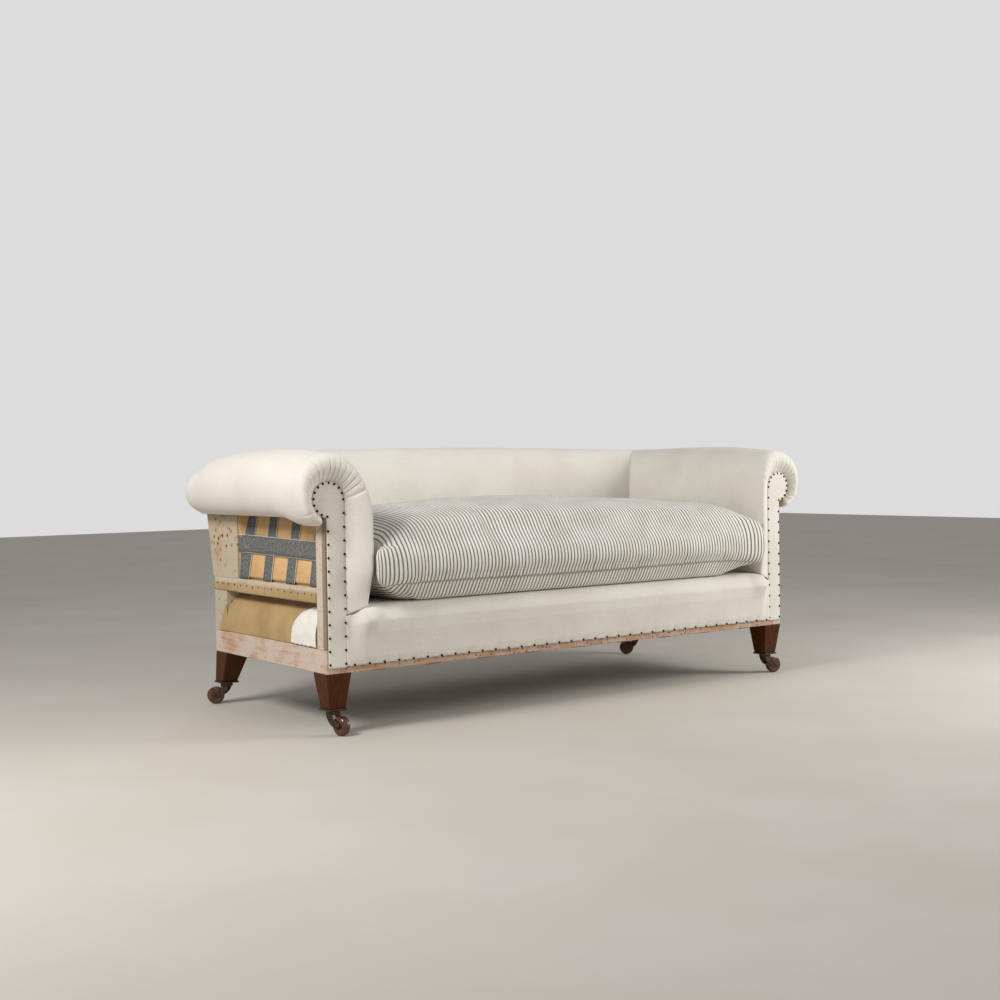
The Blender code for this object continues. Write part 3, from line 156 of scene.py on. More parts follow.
def paced(up: float, rows: float, share: float) -> float:
    """Spreads the first rows, as a share of all, over a share of a section, and the rest over the rest."""
    if up < rows:
        return share * up / rows
    return share + (1 - share) * (up - rows) / (1 - rows)


def arc(centre: Point, half: Point, start: float, stop: float, count: int) -> list[Point]:
    """Points along an upright ellipse.

    Args:
        centre: Middle of the ellipse.
        half: Half its width and half its height.
        start: First angle, in degrees.
        stop: Last angle, in degrees.
        count: Number of steps.

    Returns:
        The points, one more than the steps.
    """
    angles = [math.radians(angle) for angle in spaced(start, stop, count + 1)]
    return [(centre[0] + half[0] * math.cos(a), centre[1] + half[1] * math.sin(a)) for a in angles]


def linear(colour: str) -> tuple[float, float, float, float]:
    """Turns an sRGB hex colour such as #e8e1d3 to linear light, with full alpha."""
    channels = [int(colour[place : place + 2], 16) / 255 for place in (1, 3, 5)]
    light = [c / 12.92 if c <= 0.04045 else ((c + 0.055) / 1.055) ** 2.4 for c in channels]
    return light[0], light[1], light[2], 1.0


def rippled(spot: Vector, length: float, seed: float = 0.0) -> float:
    """Smooth unevenness from -1 to 1 at a place, with bumps about as long as the length given."""
    return noise.noise(spot / length + Vector((seed, seed, seed)))


def frayed(run: float, length: float, seed: float = 0.0) -> float:
    """Smooth unevenness from -1 to 1 along an edge, with bumps about as long as the length given."""
    return rippled(Vector((run, 0.0, 0.0)), length, seed)


class Path:
    """A line in a plane that can be walked by its own length."""

    def __init__(self, points: Iterable[Point]) -> None:
        """Measures the line through the points."""
        self.points = list(points)
        self.marks = [0.0]
        for first, second in zip(self.points, self.points[1:]):
            self.marks.append(self.marks[-1] + math.dist(first, second))

    @property
    def length(self) -> float:
        """The whole length of the line."""
        return self.marks[-1]

    def at(self, share: float) -> Point:
        """The point at a share of the line's length."""
        walked = held(share) * self.length
        for index, mark in enumerate(self.marks[1:]):
            if walked <= mark or index == len(self.marks) - 2:
                step = mark - self.marks[index]
                part = (walked - self.marks[index]) / step if step else 0.0
                return between(self.points[index], self.points[index + 1], part)
        return self.points[-1]


# Meshes


def cloth_grid(
    columns: int, rows: int, place: Callable[[float, float], Sequence[float]], flat: Point
) -> Shape:
    """A grid of cloth laid where a function puts each of its points.

    Args:
        columns: Cells across.
        rows: Cells up.
        place: Gives a point's place from its shares across and up.
        flat: Width and length of the flat cloth, for the weave's own map.

    Returns:
        The grid, with its shares kept in the point layers across and up.
    """
    shape = bmesh.new()
    weave = shape.loops.layers.uv.new(CLOTH_MAP)
    across = shape.verts.layers.float.new("across")
    up = shape.verts.layers.float.new("up")
    bmesh.ops.create_grid(shape, x_segments=columns, y_segments=rows, size=0.5)
    for vert in shape.verts:
        vert[across] = vert.co.x + 0.5
        vert[up] = vert.co.y + 0.5
    for face in shape.faces:
        for loop in face.loops:
            loop[weave].uv = (loop.vert[across] * flat[0], loop.vert[up] * flat[1])
    for vert in shape.verts:
        vert.co = place(vert[across], vert[up])
    return shape


def line_inside(shape: Shape, first: float) -> None:
    """Gives the faces whose share across is past the first value the second finish of the piece."""
    across = shape.verts.layers.float["across"]
    for face in shape.faces:
        if min(vert[across] for vert in face.verts) >= first - 1e-6:
            face.material_index = 1


def close_tube(shape: Shape) -> None:
    """Welds a tube's first and last columns, caps its open ends and turns its faces outwards."""
    bmesh.ops.remove_doubles(shape, verts=shape.verts, dist=WELD)
    rims = [edge for edge in shape.edges if edge.is_boundary]
    bmesh.ops.holes_fill(shape, edges=rims, sides=0)
    bmesh.ops.recalc_face_normals(shape, faces=shape.faces)
    if shape.calc_volume(signed=True) < 0.0:
        bmesh.ops.reverse_faces(shape, faces=shape.faces)


def displace(shape: Shape, rise: Callable[[Vert], float]) -> None:
    """Moves each point along its normal by what a function of the point gives."""
    shape.normal_update()
    moves = [(vert, vert.normal * rise(vert)) for vert in shape.verts]
    for vert, move in moves:
        vert.co += move


def add_object(name: str, shape: Shape, finishes: Sequence[Material]) -> Piece:
    """Puts an object in the scene, made from a bmesh, which is freed, with its materials."""
    mesh = bpy.data.meshes.new(name)
    shape.to_mesh(mesh)
    shape.free()
    for finish in finishes:
        mesh.materials.append(finish)
    thing = bpy.data.objects.new(name, mesh)
    bpy.context.scene.collection.objects.link(thing)
    return thing


def add_piece(
    name: str,
    shape: Shape,
    finishes: Sequence[Material],
    body: str = "settee",
    stands_for: Sequence[str] = (),
    thickness: float | None = None,
) -> Piece:
    """Makes a piece of the settee from a bmesh, and ties it to a body of the frame.

    Args:
        name: The piece's name.
        shape: Its mesh, which is freed.
        finishes: Its materials, in the order of the faces' indices.
        body: The CAD body that it moves with.
        stands_for: CAD nodes that it is shown instead of.
        thickness: Thickness of a sheet, half to each side.

    Returns:
        The piece.
    """
    piece = add_object(name, shape, finishes)
    piece.data.shade_smooth()
    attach(piece, body)
    if stands_for:
        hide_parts(*stands_for)
    if thickness:
        step = piece.modifiers.new("cloth thickness", "SOLIDIFY")
        step.thickness = thickness
        step.offset = 0.0
    log.info("%s: %d faces on %s", name, len(piece.data.polygons), body)
    return piece


# Finishes


def add_node(
    tree: bpy.types.NodeTree,
    kind: str,
    settings: Mapping[str | int, Any],
    links: Mapping[str | int, Socket] | None = None,
) -> bpy.types.Node:
    """Adds a node with its settings and links.

    Args:
        tree: The material's node tree.
        kind: Blender's name for the kind of node.
        settings: Values by the name or number of an input, or by the name of a property. The stops of a
            colour ramp are pairs of a place and a hex colour.
        links: Output sockets by the name or number of the input that each feeds.

    Returns:
        The node.
    """
    node = tree.nodes.new(kind)
    for key, value in settings.items():
        if key == "stops":
            ramp = node.color_ramp.elements
            while len(ramp) < len(value):
                ramp.new(1.0)
            for stop, (place, colour) in zip(ramp, value):
                stop.position = place
                stop.color = linear(colour)
        elif isinstance(key, int) or key in node.inputs:
            node.inputs[key].default_value = value
        else:
            setattr(node, key, value)
    for key, socket in (links or {}).items():
        tree.links.new(socket, node.inputs[key])
    return node


def per_metre(millimetres: float) -> float:
    """The scale of a cell or noise pattern whose marks are this far apart."""
    return 1000.0 / millimetres


def bands_scale(millimetres: float) -> float:
    """The scale of Blender's band pattern, which at 1 repeats 20 / (2 pi) times a metre, for this spacing."""
    return 2.0 * math.pi * 1000.0 / (20.0 * millimetres)


# Spacing for a noise on a place that has been stretched to the size of its marks already
STRETCHED_MM = 1000.0


class Recipe:
    """A material under way, whose methods each add one node and give back its output."""

    def __init__(self, name: str, constants: Mapping[str, Any]) -> None:
        """Starts the material with values that are the same all over, by the name of the shader's socket."""
        self.material = bpy.data.materials.new(name)
        self.material.use_nodes = True
        self.tree = self.material.node_tree
        self.shader = self.tree.nodes["Principled BSDF"]
        for key, value in constants.items():
            self.shader.inputs[key].default_value = value

    def add(
        self,
        kind: str,
        settings: Mapping[str | int, Any],
        links: Mapping[str | int, Socket] | None = None,
        output: str | int = 0,
    ) -> Socket:
        """Adds a shader node of a kind and gives back the output that is asked for."""
        return add_node(self.tree, f"ShaderNode{kind}", settings, links).outputs[output]

    def cloth(self) -> Socket:
        """The piece's own map of its cloth."""
        return self.add("UVMap", {"uv_map": CLOTH_MAP})

    def place(self) -> Socket:
        """The place on the piece."""
        return self.add("TexCoord", {}, output="Object")

    def axis(self, vector: Socket, name: str) -> Socket:
        """One axis of a place or a map."""
        return self.add("SeparateXYZ", {}, {"Vector": vector}, name)

    def stretched(self, vector: Socket, scale: Sequence[float]) -> Socket:
        """A place with each axis scaled."""
        return self.add("Mapping", {"Scale": scale}, {"Vector": vector})

    def noise(self, vector: Socket, millimetres: float, detail: float, **more: float) -> Socket:
        """Clouds about this far apart."""
        settings = {"Scale": per_metre(millimetres), "Detail": detail, **more}
        return self.add("TexNoise", settings, {"Vector": vector})

    def bands(
        self, vector: Socket, millimetres: float, direction: str, more: Mapping[str, float] | None = None
    ) -> Socket:
        """Bands this far apart, across an axis or slanting."""
        settings = {"wave_type": "BANDS", "bands_direction": direction, "Scale": bands_scale(millimetres)}
        return self.add("TexWave", {**settings, **(more or {})}, {"Vector": vector}, "Fac")

    def ramp(self, value: Socket, *stops: tuple[float, str]) -> Socket:
        """A colour for a value, from stops that each have a place and a hex colour."""
        return self.add("ValToRGB", {"stops": stops}, {"Fac": value})

    def span(self, value: Socket, taken: Point = (0.0, 1.0), given: Point = (0.0, 1.0)) -> Socket:
        """A value carried from the span taken to the span given, and held inside it."""
        names = ("From Min", "From Max", "To Min", "To Max")
        return self.add("MapRange", dict(zip(names, (*taken, *given))), {"Value": value})

    def sum(self, operation: str, *terms: Socket | float) -> Socket:
        """A sum of outputs and plain numbers."""
        links = {number: term for number, term in enumerate(terms) if isinstance(term, Socket)}
        plain = {number: term for number, term in enumerate(terms) if number not in links}
        return self.add("Math", {"operation": operation, **plain}, links)

    def blend(self, share: Socket | float, under: Socket, over: Socket | str, kind: str = "MIX") -> Socket:
        """A colour with another one, an output or a hex colour, laid over it by a share."""
        settings = {"data_type": "RGBA", "blend_type": kind}
        links = {6: under}
        for number, value in ((0, share), (7, over)):
            if isinstance(value, Socket):
                links[number] = value
            else:
                settings[number] = linear(value) if isinstance(value, str) else value
        return self.add("Mix", settings, links, 2)

    def relief(self, height: Socket, millimetres: float, strength: float) -> Socket:
        """The shading of a surface that is raised this far."""
        return self.add("Bump", {"Strength": strength, "Distance": millimetres / 1000.0}, {"Height": height})

    def done(self, links: Mapping[str, Socket]) -> Material:
        """Feeds the shader's sockets and gives back the material."""
        for key, socket in links.items():
            self.tree.links.new(socket, self.shader.inputs[key])
        return self.material


@dataclass(frozen=True)
class PlainWeave:
    """Cotton or jute cloth of crossing threads: matt, a little soft at the rim, uneven in colour."""

    name: str
    light: str
    dark: str
    fleck: str
    # Threads are drawn coarser than life so that they show
    thread_mm: float
    relief_mm: float
    fleck_share: float = 0.68
    fleck_strength: float = 0.55
    cloud_mm: float = 160.0
    sheen: float = 0.12

    def make(self) -> Material:
        """Builds the material: threads on the cloth's own map, with painted shade between them, clouds and
        flecks on its place.
        """
        matt = {"Roughness": 0.92, "Specular IOR Level": 0.25}
        recipe = Recipe(self.name, {**matt, "Sheen Weight": self.sheen, "Sheen Roughness": 0.5})
        cloth = recipe.cloth()
        place = recipe.place()
        uneven = {"Distortion": 1.2, "Detail": 2.0, "Detail Scale": 0.3}
        threads = [recipe.bands(cloth, self.thread_mm, direction, uneven) for direction in "XY"]
        weave = recipe.sum("MULTIPLY", *threads)
        clouds = recipe.noise(place, self.cloud_mm, 4.0)
        tone = recipe.ramp(clouds, (0.32, self.dark), (0.62, self.light))
        specks = recipe.noise(place, self.thread_mm * 3.0, 1.0)
        speck = recipe.span(specks, (self.fleck_share, self.fleck_share + 0.10), (0.0, self.fleck_strength))
        flecked = recipe.blend(speck, tone, self.fleck)
        # Painted shade between the threads: the colour is darkened where the weave is low
        hollow = recipe.span(weave, given=(0.88, 1.04))
        woven = recipe.blend(1.0, flecked, hollow, "MULTIPLY")
        return recipe.done({"Base Color": woven, "Normal": recipe.relief(weave, self.relief_mm, 0.35)})


@dataclass(frozen=True)
class Ticking:
    """Striped cotton ticking: close twill, cream with dark grey stripes that are dyed in the yarn."""

    cream: str = "#ece9e1"
    soiled: str = "#e2dccf"
    stripe: str = "#656462"
    faded: str = "#7f7e7b"
    # Painted shade of the groove along the seam
    seam: str = "#4a4843"
    pitch_mm: float = 11.9
    stripe_share: float = 0.36
    stripe_blur: float = 0.03
    wear_mm: float = 70.0
    # Twill lines are about 0.8 mm apart, drawn coarser so that they show
    twill_mm: float = 2.2

    def make(self) -> Material:
        """Builds the material: stripes across the cloth's own map, twill as relief, fading as a cloud, and
        painted shade along the seam.
        """
        matt = {"Roughness": 0.9, "Specular IOR Level": 0.25}
        recipe = Recipe("striped cotton ticking", {**matt, "Sheen Weight": 0.15, "Sheen Roughness": 0.5})
        cloth = recipe.cloth()
        counted = recipe.sum("MULTIPLY", recipe.axis(cloth, "X"), per_metre(self.pitch_mm))
        off = recipe.sum("ABSOLUTE", recipe.sum("SUBTRACT", recipe.sum("FRACT", counted), 0.5))
        half = self.stripe_share / 2
        dyed = recipe.span(off, (half - self.stripe_blur, half + self.stripe_blur), (1.0, 0.0))
        wear = recipe.noise(recipe.place(), self.wear_mm, 5.0)
        dye = recipe.ramp(wear, (0.35, self.stripe), (0.70, self.faded))
        ground = recipe.ramp(wear, (0.30, self.soiled), (0.65, self.cream))
        striped = recipe.blend(dyed, ground, dye)
        # Painted shade along the low seam: the colour is darkened towards the seam colour at the marked
        # points
        mark = recipe.add("Attribute", {"attribute_name": SEAM_SHADE_MARK}, output="Fac")
        shade = recipe.sum("MULTIPLY", recipe.sum("POWER", mark, 5.0), 0.7)
        sewn = recipe.blend(shade, striped, self.seam)
        twill = recipe.bands(cloth, self.twill_mm, "DIAGONAL")
        return recipe.done({"Base Color": sewn, "Normal": recipe.relief(twill, 0.4, 0.25)})


@dataclass(frozen=True)
class HerringboneWebbing:
    """Black and white jute webbing: herringbone twill that reads as slate grey, with pale selvedges."""

    black: str = "#3f4044"
    white: str = "#96958f"
    selvedge: str = "#c9c5ba"
    width_mm: float = 51.0
    edge_mm: float = 1.8
    edge_blur_mm: float = 0.4
    # The real twill is about 1.5 mm, drawn coarser so that it shows
    twill_mm: float = 3.6
    chevron_mm: float = 17.0
    grit_mm: float = 6.0

    def make(self) -> Material:
        """Builds the material on the strap's own map, whose first axis runs across the strap."""
        recipe = Recipe("black and white herringbone webbing", {"Roughness": 0.95, "Specular IOR Level": 0.2})
        cloth = recipe.cloth()
        across = recipe.axis(cloth, "X")
        folded = recipe.sum("PINGPONG", across, self.chevron_mm / 2000.0)
        slanted = recipe.sum("ADD", folded, recipe.axis(cloth, "Y"))
        wave = recipe.sum("SINE", recipe.sum("MULTIPLY", slanted, 2.0 * math.pi * per_metre(self.twill_mm)))
        thread = recipe.sum("MULTIPLY_ADD", wave, 0.22, recipe.noise(cloth, self.grit_mm, 3.0))
        tone = recipe.ramp(thread, (0.30, self.black), (0.85, self.white))
        off = recipe.sum("ABSOLUTE", recipe.sum("SUBTRACT", across, self.width_mm / 2000.0))
        inside = (self.width_mm / 2 - self.edge_mm) / 1000.0
        blur = self.edge_blur_mm / 1000.0
        edged = recipe.blend(recipe.span(off, (inside - blur, inside + blur)), tone, self.selvedge)
        return recipe.done({"Base Color": edged, "Normal": recipe.relief(thread, 0.6, 0.4)})


@dataclass(frozen=True)
class WashedBeech:
    """Old beech under a worn pink-white wash: bare orange where it is rubbed, with rusty tack holes."""

    name: str
    grain: Grain
    bare: str = "#bd9675"
    pale: str = "#c6a282"
    wash: str = "#cbb8a9"
    stain: str = "#ae8059"
    polish: str = "#7d6a57"
    hole: str = "#33200f"
    rust: str = "#8a4c1e"
    wash_share: float = 0.47
    fibre_mm: Point = (7.0, 160.0)
    patch_mm: float = 85.0
    hole_mm: float = 2.6
    spacing_mm: float = 15.0
    rust_mm: float = 1.6
    # Holes gather round this place from front to back and up, if it is given
    crowd: Point | None = None
    # A strip in front of this plane, round the post's front corner, is coloured darker brown
    browned_before: float | None = None

    def make(self) -> Material:
        """Builds the material on the place of the piece, with the grain along its axis."""
        recipe = Recipe(self.name, {"Specular IOR Level": 0.3})
        place = recipe.place()
        stretch = [per_metre(self.fibre_mm[0])] * 3
        stretch[self.grain.value] = per_metre(self.fibre_mm[1])
        along = recipe.stretched(place, stretch)
        fibres = recipe.noise(along, STRETCHED_MM, 6.0, Roughness=0.6, Distortion=0.3)
        patches = recipe.noise(place, self.patch_mm, 5.0, Roughness=0.62, Distortion=0.4)
        worn = recipe.sum("MULTIPLY_ADD", fibres, 0.35, patches)
        washed = recipe.span(worn, (self.wash_share + 0.06, self.wash_share + 0.30))
        timber = recipe.ramp(fibres, (0.30, self.stain), (0.55, self.bare), (0.78, self.pale))
        coated = recipe.blend(washed, timber, self.wash)
        if self.browned_before is not None:
            edge = (self.browned_before - 0.0003, self.browned_before + 0.0003)
            coated = recipe.blend(recipe.span(recipe.axis(place, "Y"), edge, (0.8, 0.0)), coated, self.polish)
        cells = recipe.add("TexVoronoi", {"Scale": per_metre(self.spacing_mm)}, {"Vector": place})
        if self.crowd is not None:
            flat = recipe.add("VectorMath", {"operation": "MULTIPLY", 1: (0.0, 1.0, 1.0)}, {0: place})
            centre = (0.0, *self.crowd)
            away = recipe.add("VectorMath", {"operation": "DISTANCE", 1: centre}, {0: flat}, "Value")
            cells = recipe.sum("ADD", cells, recipe.span(away, (0.03, 0.10), (0.0, 0.15)))
        radius = self.hole_mm / 2 / self.spacing_mm
        rusty = recipe.span(cells, (radius, radius + self.rust_mm / self.spacing_mm), (0.75, 0.0))
        pit = recipe.span(cells, (radius * 0.8, radius * 1.1), (1.0, 0.0))
        pierced = recipe.blend(pit, recipe.blend(rusty, coated, self.rust), self.hole)
        rough = recipe.span(washed, given=(0.62, 0.85))
        relief = recipe.relief(recipe.sum("SUBTRACT", fibres, pit), 1.2, 0.35)
        return recipe.done({"Base Color": pierced, "Roughness": rough, "Normal": relief})


@dataclass(frozen=True)
class PolishedMahogany:
    """French-polished mahogany gone dull: red-brown with darker straight grain and a soft shine."""

    light: str = "#57300f"
    dark: str = "#3a1c0a"
    grain_mm: float = 3.5
    figure_mm: float = 70.0
    scuff_mm: float = 25.0

    def make(self) -> Material:
        """Builds the material with upright grain on the place of the leg."""
        recipe = Recipe("polished mahogany", {"IOR": 1.5, "Specular IOR Level": 0.12})
        place = recipe.place()
        fine = per_metre(self.grain_mm)
        along = recipe.stretched(place, (fine, fine, per_metre(self.figure_mm)))
        grain = recipe.noise(along, STRETCHED_MM, 6.0, Distortion=0.5)
        tone = recipe.ramp(grain, (0.34, self.dark), (0.66, self.light))
        rough = recipe.span(recipe.noise(place, self.scuff_mm, 6.0), given=(0.3, 0.6))
        relief = recipe.relief(grain, 0.5, 0.15)
        return recipe.done({"Base Color": tone, "Roughness": rough, "Normal": relief})


@dataclass(frozen=True)
class SpottedMetal:
    """Iron or steel that has darkened with age: dull metal with rougher brown patches."""

    name: str
    clean: str
    aged: str
    patch_mm: float
    roughness: Point = (0.35, 0.7)

    def make(self) -> Material:
        """Builds the material with patches on the place of the piece."""
        recipe = Recipe(self.name, {"Metallic": 0.85})
        patches = recipe.noise(recipe.place(), self.patch_mm, 5.0)
        tone = recipe.ramp(patches, (0.38, self.clean), (0.66, self.aged))
        dull = recipe.span(patches, given=self.roughness)
        relief = recipe.relief(patches, 0.4, 0.2)
        return recipe.done({"Base Color": tone, "Roughness": dull, "Normal": relief})


@dataclass(frozen=True)
class GlazedCeramic:
    """Brown-glazed ceramic castor wheels: glossy, dark red-brown, with scuffed dull tracks."""

    light: str = "#63301f"
    dark: str = "#3c1c12"
    mottle_mm: float = 14.0

    def make(self) -> Material:
        """Builds the material with mottled glaze on the place of the wheel."""
        recipe = Recipe("brown glazed ceramic", {"IOR": 1.52, "Coat Weight": 0.35})
        mottle = recipe.noise(recipe.place(), self.mottle_mm, 5.0)
        tone = recipe.ramp(mottle, (0.36, self.dark), (0.68, self.light))
        scuffed = recipe.span(mottle, (0.45, 0.75), (0.16, 0.5))
        return recipe.done({"Base Color": tone, "Roughness": scuffed})


@dataclass(frozen=True)
class StudioFloor:
    """Pale even floor: matt, with a mottle that is hardly seen."""

    light: str = "#cbc6bd"
    dark: str = "#c4beb3"
    mottle_mm: float = 500.0

    def make(self) -> Material:
        """Builds the material with its mottle on the place of the floor."""
        recipe = Recipe("pale floor", {"Roughness": 0.8})
        clouds = recipe.noise(recipe.place(), self.mottle_mm, 5.0)
        return recipe.done({"Base Color": recipe.ramp(clouds, (0.3, self.dark), (0.7, self.light))})


CALICO = PlainWeave("unbleached calico", "#eee9df", "#e6dfd3", "#c8b596", 1.8, 0.25)
HESSIAN = PlainWeave("olive hessian", "#bb9c6b", "#a78a5a", "#cdb286", 2.6, 0.7, 0.66, cloud_mm=90.0)
CANVAS = PlainWeave("tan hessian canvas", "#dfb681", "#d3a870", "#bb8f58", 2.6, 0.6, 0.62, cloud_mm=90.0)
TAIL = PlainWeave("ochre hessian", "#bfa074", "#ab8c5e", "#8f7248", 2.6, 0.6, 0.60)
WADDING = PlainWeave(
    "white cotton wadding", "#f3efe6", "#ebe5d8", "#ddd2bb", 1.6, 0.3, cloud_mm=25.0, sheen=0.3
)
RAILS_ACROSS = WashedBeech(
    "washed beech along x",
    Grain.X,
    wash="#c9b09f",
    wash_share=0.50,
    hole_mm=3.6,
    spacing_mm=12.0,
    rust_mm=2.2,
)
RAILS_ALONG = WashedBeech("washed beech along y", Grain.Y, wash_share=0.44, hole_mm=1.8)
STUFFING_RAILS = WashedBeech(
    "washed beech stuffing rail", Grain.Y, bare="#b59c78", wash="#c6b79f", wash_share=0.36, hole_mm=2.0
)
POSTS = WashedBeech(
    "washed beech upright",
    Grain.Z,
    wash="#c9baa8",
    wash_share=0.36,
    hole_mm=2.0,
    spacing_mm=11.0,
    browned_before=PLAN.front + 0.0150,
)
PLANKS = WashedBeech(
    "washed beech plank",
    Grain.Z,
    wash="#bcae96",
    hole="#4f331c",
    wash_share=0.32,
    hole_mm=8.0,
    spacing_mm=19.0,
    rust_mm=4.5,
    crowd=(0.250, 0.495),
)
IRON = SpottedMetal("browned cast iron", "#3a332e", "#5b4433", 9.0)
SPRINGS = SpottedMetal("coppered spring steel", "#9a6a4c", "#6b4a38", 14.0)
TACKS = SpottedMetal("blued steel tacks", "#16161a", "#2a221c", 5.0, (0.3, 0.5))


@dataclass(frozen=True)
class Finishes:
    """Every material of the settee, made once."""

    calico: Material = field(default_factory=CALICO.make)
    hessian: Material = field(default_factory=HESSIAN.make)
    canvas: Material = field(default_factory=CANVAS.make)
    tail: Material = field(default_factory=TAIL.make)
    wadding: Material = field(default_factory=WADDING.make)
    ticking: Material = field(default_factory=Ticking().make)
    webbing: Material = field(default_factory=HerringboneWebbing().make)
    rails_across: Material = field(default_factory=RAILS_ACROSS.make)
    rails_along: Material = field(default_factory=RAILS_ALONG.make)
    stuffing_rails: Material = field(default_factory=STUFFING_RAILS.make)
    posts: Material = field(default_factory=POSTS.make)
    planks: Material = field(default_factory=PLANKS.make)
    mahogany: Material = field(default_factory=PolishedMahogany().make)
    iron: Material = field(default_factory=IRON.make)
    springs: Material = field(default_factory=SPRINGS.make)
    tacks: Material = field(default_factory=TACKS.make)
    ceramic: Material = field(default_factory=GlazedCeramic().make)


# Stuffed arms, back and seat


# Shares of a roll's section where its face, its shoulder and its roll end, and where the scroll's stem ends
FACE_END = 0.30
SHOULDER_END = 0.62
ROLL_END = 0.83
STEM_END = 0.407
QUARTER = math.pi / 2


@dataclass(frozen=True)
class RollSection:
    """The section that arms and back share: a padded face, a shoulder, a roll and its underside.

    Distances out are measured from the padded face, and shares run from the deck to the end underneath.
    """

    thickness: float
    hollow_low: float
    hollow_top: float
    hollow_out: float
    tuck: float = 0.010
    shoulder: float = 0.5606
    middle: float = 0.6486
    top: float = 0.7426
    under: float = 0.5466
    ceiling: float = 0.6362
    hollow_end: float = 0.549
    lean_start: float = 0.3932
    top_share: float = 0.515
    end_share: float = 0.69
    edge_share: float = 0.6
    draw_start: float = 0.4
    draw_share: float = 0.75
    turn_start: float = 0.3

    def outer(self, share: float, lifted: float = 0.0) -> Point:
        """The padded outside at a share, with the underside lifted by the length given."""
        top_out = self.thickness * self.top_share
        end_out = self.thickness * self.end_share
        if share < FACE_END:
            part = share / FACE_END
            return self.tuck * (1 - part) ** 2, toward(PLAN.pad_bottom, self.shoulder, part)
        if share < SHOULDER_END:
            angle = QUARTER * (2 - part_of(share, FACE_END, SHOULDER_END))
            return top_out * (1 + math.cos(angle)), toward(self.shoulder, self.top, math.sin(angle))
        if share < ROLL_END:
            angle = QUARTER * (1 - part_of(share, SHOULDER_END, ROLL_END))
            out = toward(top_out, self.thickness, math.cos(angle))
            return out, toward(self.middle, self.top, math.sin(angle))
        angle = QUARTER * part_of(share, ROLL_END, 1.0)
        out = toward(end_out, self.thickness, math.cos(angle))
        return out, toward(self.middle, self.under + lifted, math.sin(angle))

    def hollow(self, share: float, lifted: float = 0.0) -> Point:
        """The hollow that the rails fill, in step with the outside."""
        halfway = ((self.hollow_top + self.hollow_out) / 2, self.ceiling)
        half_height = (self.ceiling + self.hollow_end) / 2
        corner = (self.hollow_top, self.ceiling)
        if share < FACE_END:
            height = toward(PLAN.pad_bottom, self.shoulder, share / FACE_END)
            return self.lean(height), height
        if share < SHOULDER_END:
            part = 2 * part_of(share, FACE_END, SHOULDER_END)
            if part < 1:
                return between((self.lean(self.shoulder), self.shoulder), corner, part)
            return between(corner, halfway, part - 1)
        if share < ROLL_END:
            part = part_of(share, SHOULDER_END, ROLL_END)
            edge = (self.hollow_out, self.ceiling)
            if part < self.edge_share:
                return between(halfway, edge, part / self.edge_share)
            return between(edge, (self.hollow_out, half_height), part_of(part, self.edge_share, 1.0))
        part = part_of(share, ROLL_END, 1.0)
        return self.hollow_out, toward(half_height, self.hollow_end + lifted, part)

    def lean(self, height: float) -> float:
        """How far the hollow is from the face at a height."""
        share = max(part_of(height, self.lean_start, self.ceiling), 0.0)
        return toward(self.hollow_low, self.hollow_top, share)

    def crown(self, height: float) -> float:
        """How far a height is up the roll, from none at the shoulder to all at the top."""
        return held(part_of(height, self.shoulder, self.top))

    def drawn_in(self, out: float, hollow: float) -> float:
        """A distance out, drawn in where the roll turns the corner, but not into the hollow."""
        start = self.draw_start * self.thickness
        if out <= start:
            return out
        drawn = toward(start, out, self.draw_share)
        return max(drawn, hollow + 2 * PLAN.fit) if out > hollow else drawn

    def turned(self, out: float) -> float:
        """How much of the corner's rounding reaches a distance out."""
        return held(part_of(out / self.thickness, self.turn_start, 1.0))


ARM_SECTION = RollSection(0.210, 0.0890, 0.0890, 0.1436)
BACK_SECTION = RollSection(0.172, 0.0427, 0.0763, 0.1176)
CORNER_ROUNDING = 0.10
UNDERSIDE_LIFT = 0.020

# How far the rear corners of the roll have sunk or stand up, and how far round that reaches
CORNER_TIP = Vector((0.90, 0.385))
WORN_SPOT = Vector((-0.80, 0.34))
RIGHT_RISE = (0.007, 0.30)
LEFT_SINK = (0.034, 0.19)
WORN_SINK = (0.008, 0.42)


def settled(across: float, along: float) -> float:
    """How far the roll has sunk at a place: the left rear corner is worn, and the right one stands up."""
    tip = (Vector((abs(across), along)) - CORNER_TIP).length
    if across > 0:
        return -RIGHT_RISE[0] * eased(1 - tip / RIGHT_RISE[1])
    worn = (Vector((across, along)) - WORN_SPOT).length
    return LEFT_SINK[0] * eased(1 - tip / LEFT_SINK[1]) + WORN_SINK[0] * eased(1 - worn / WORN_SINK[1])


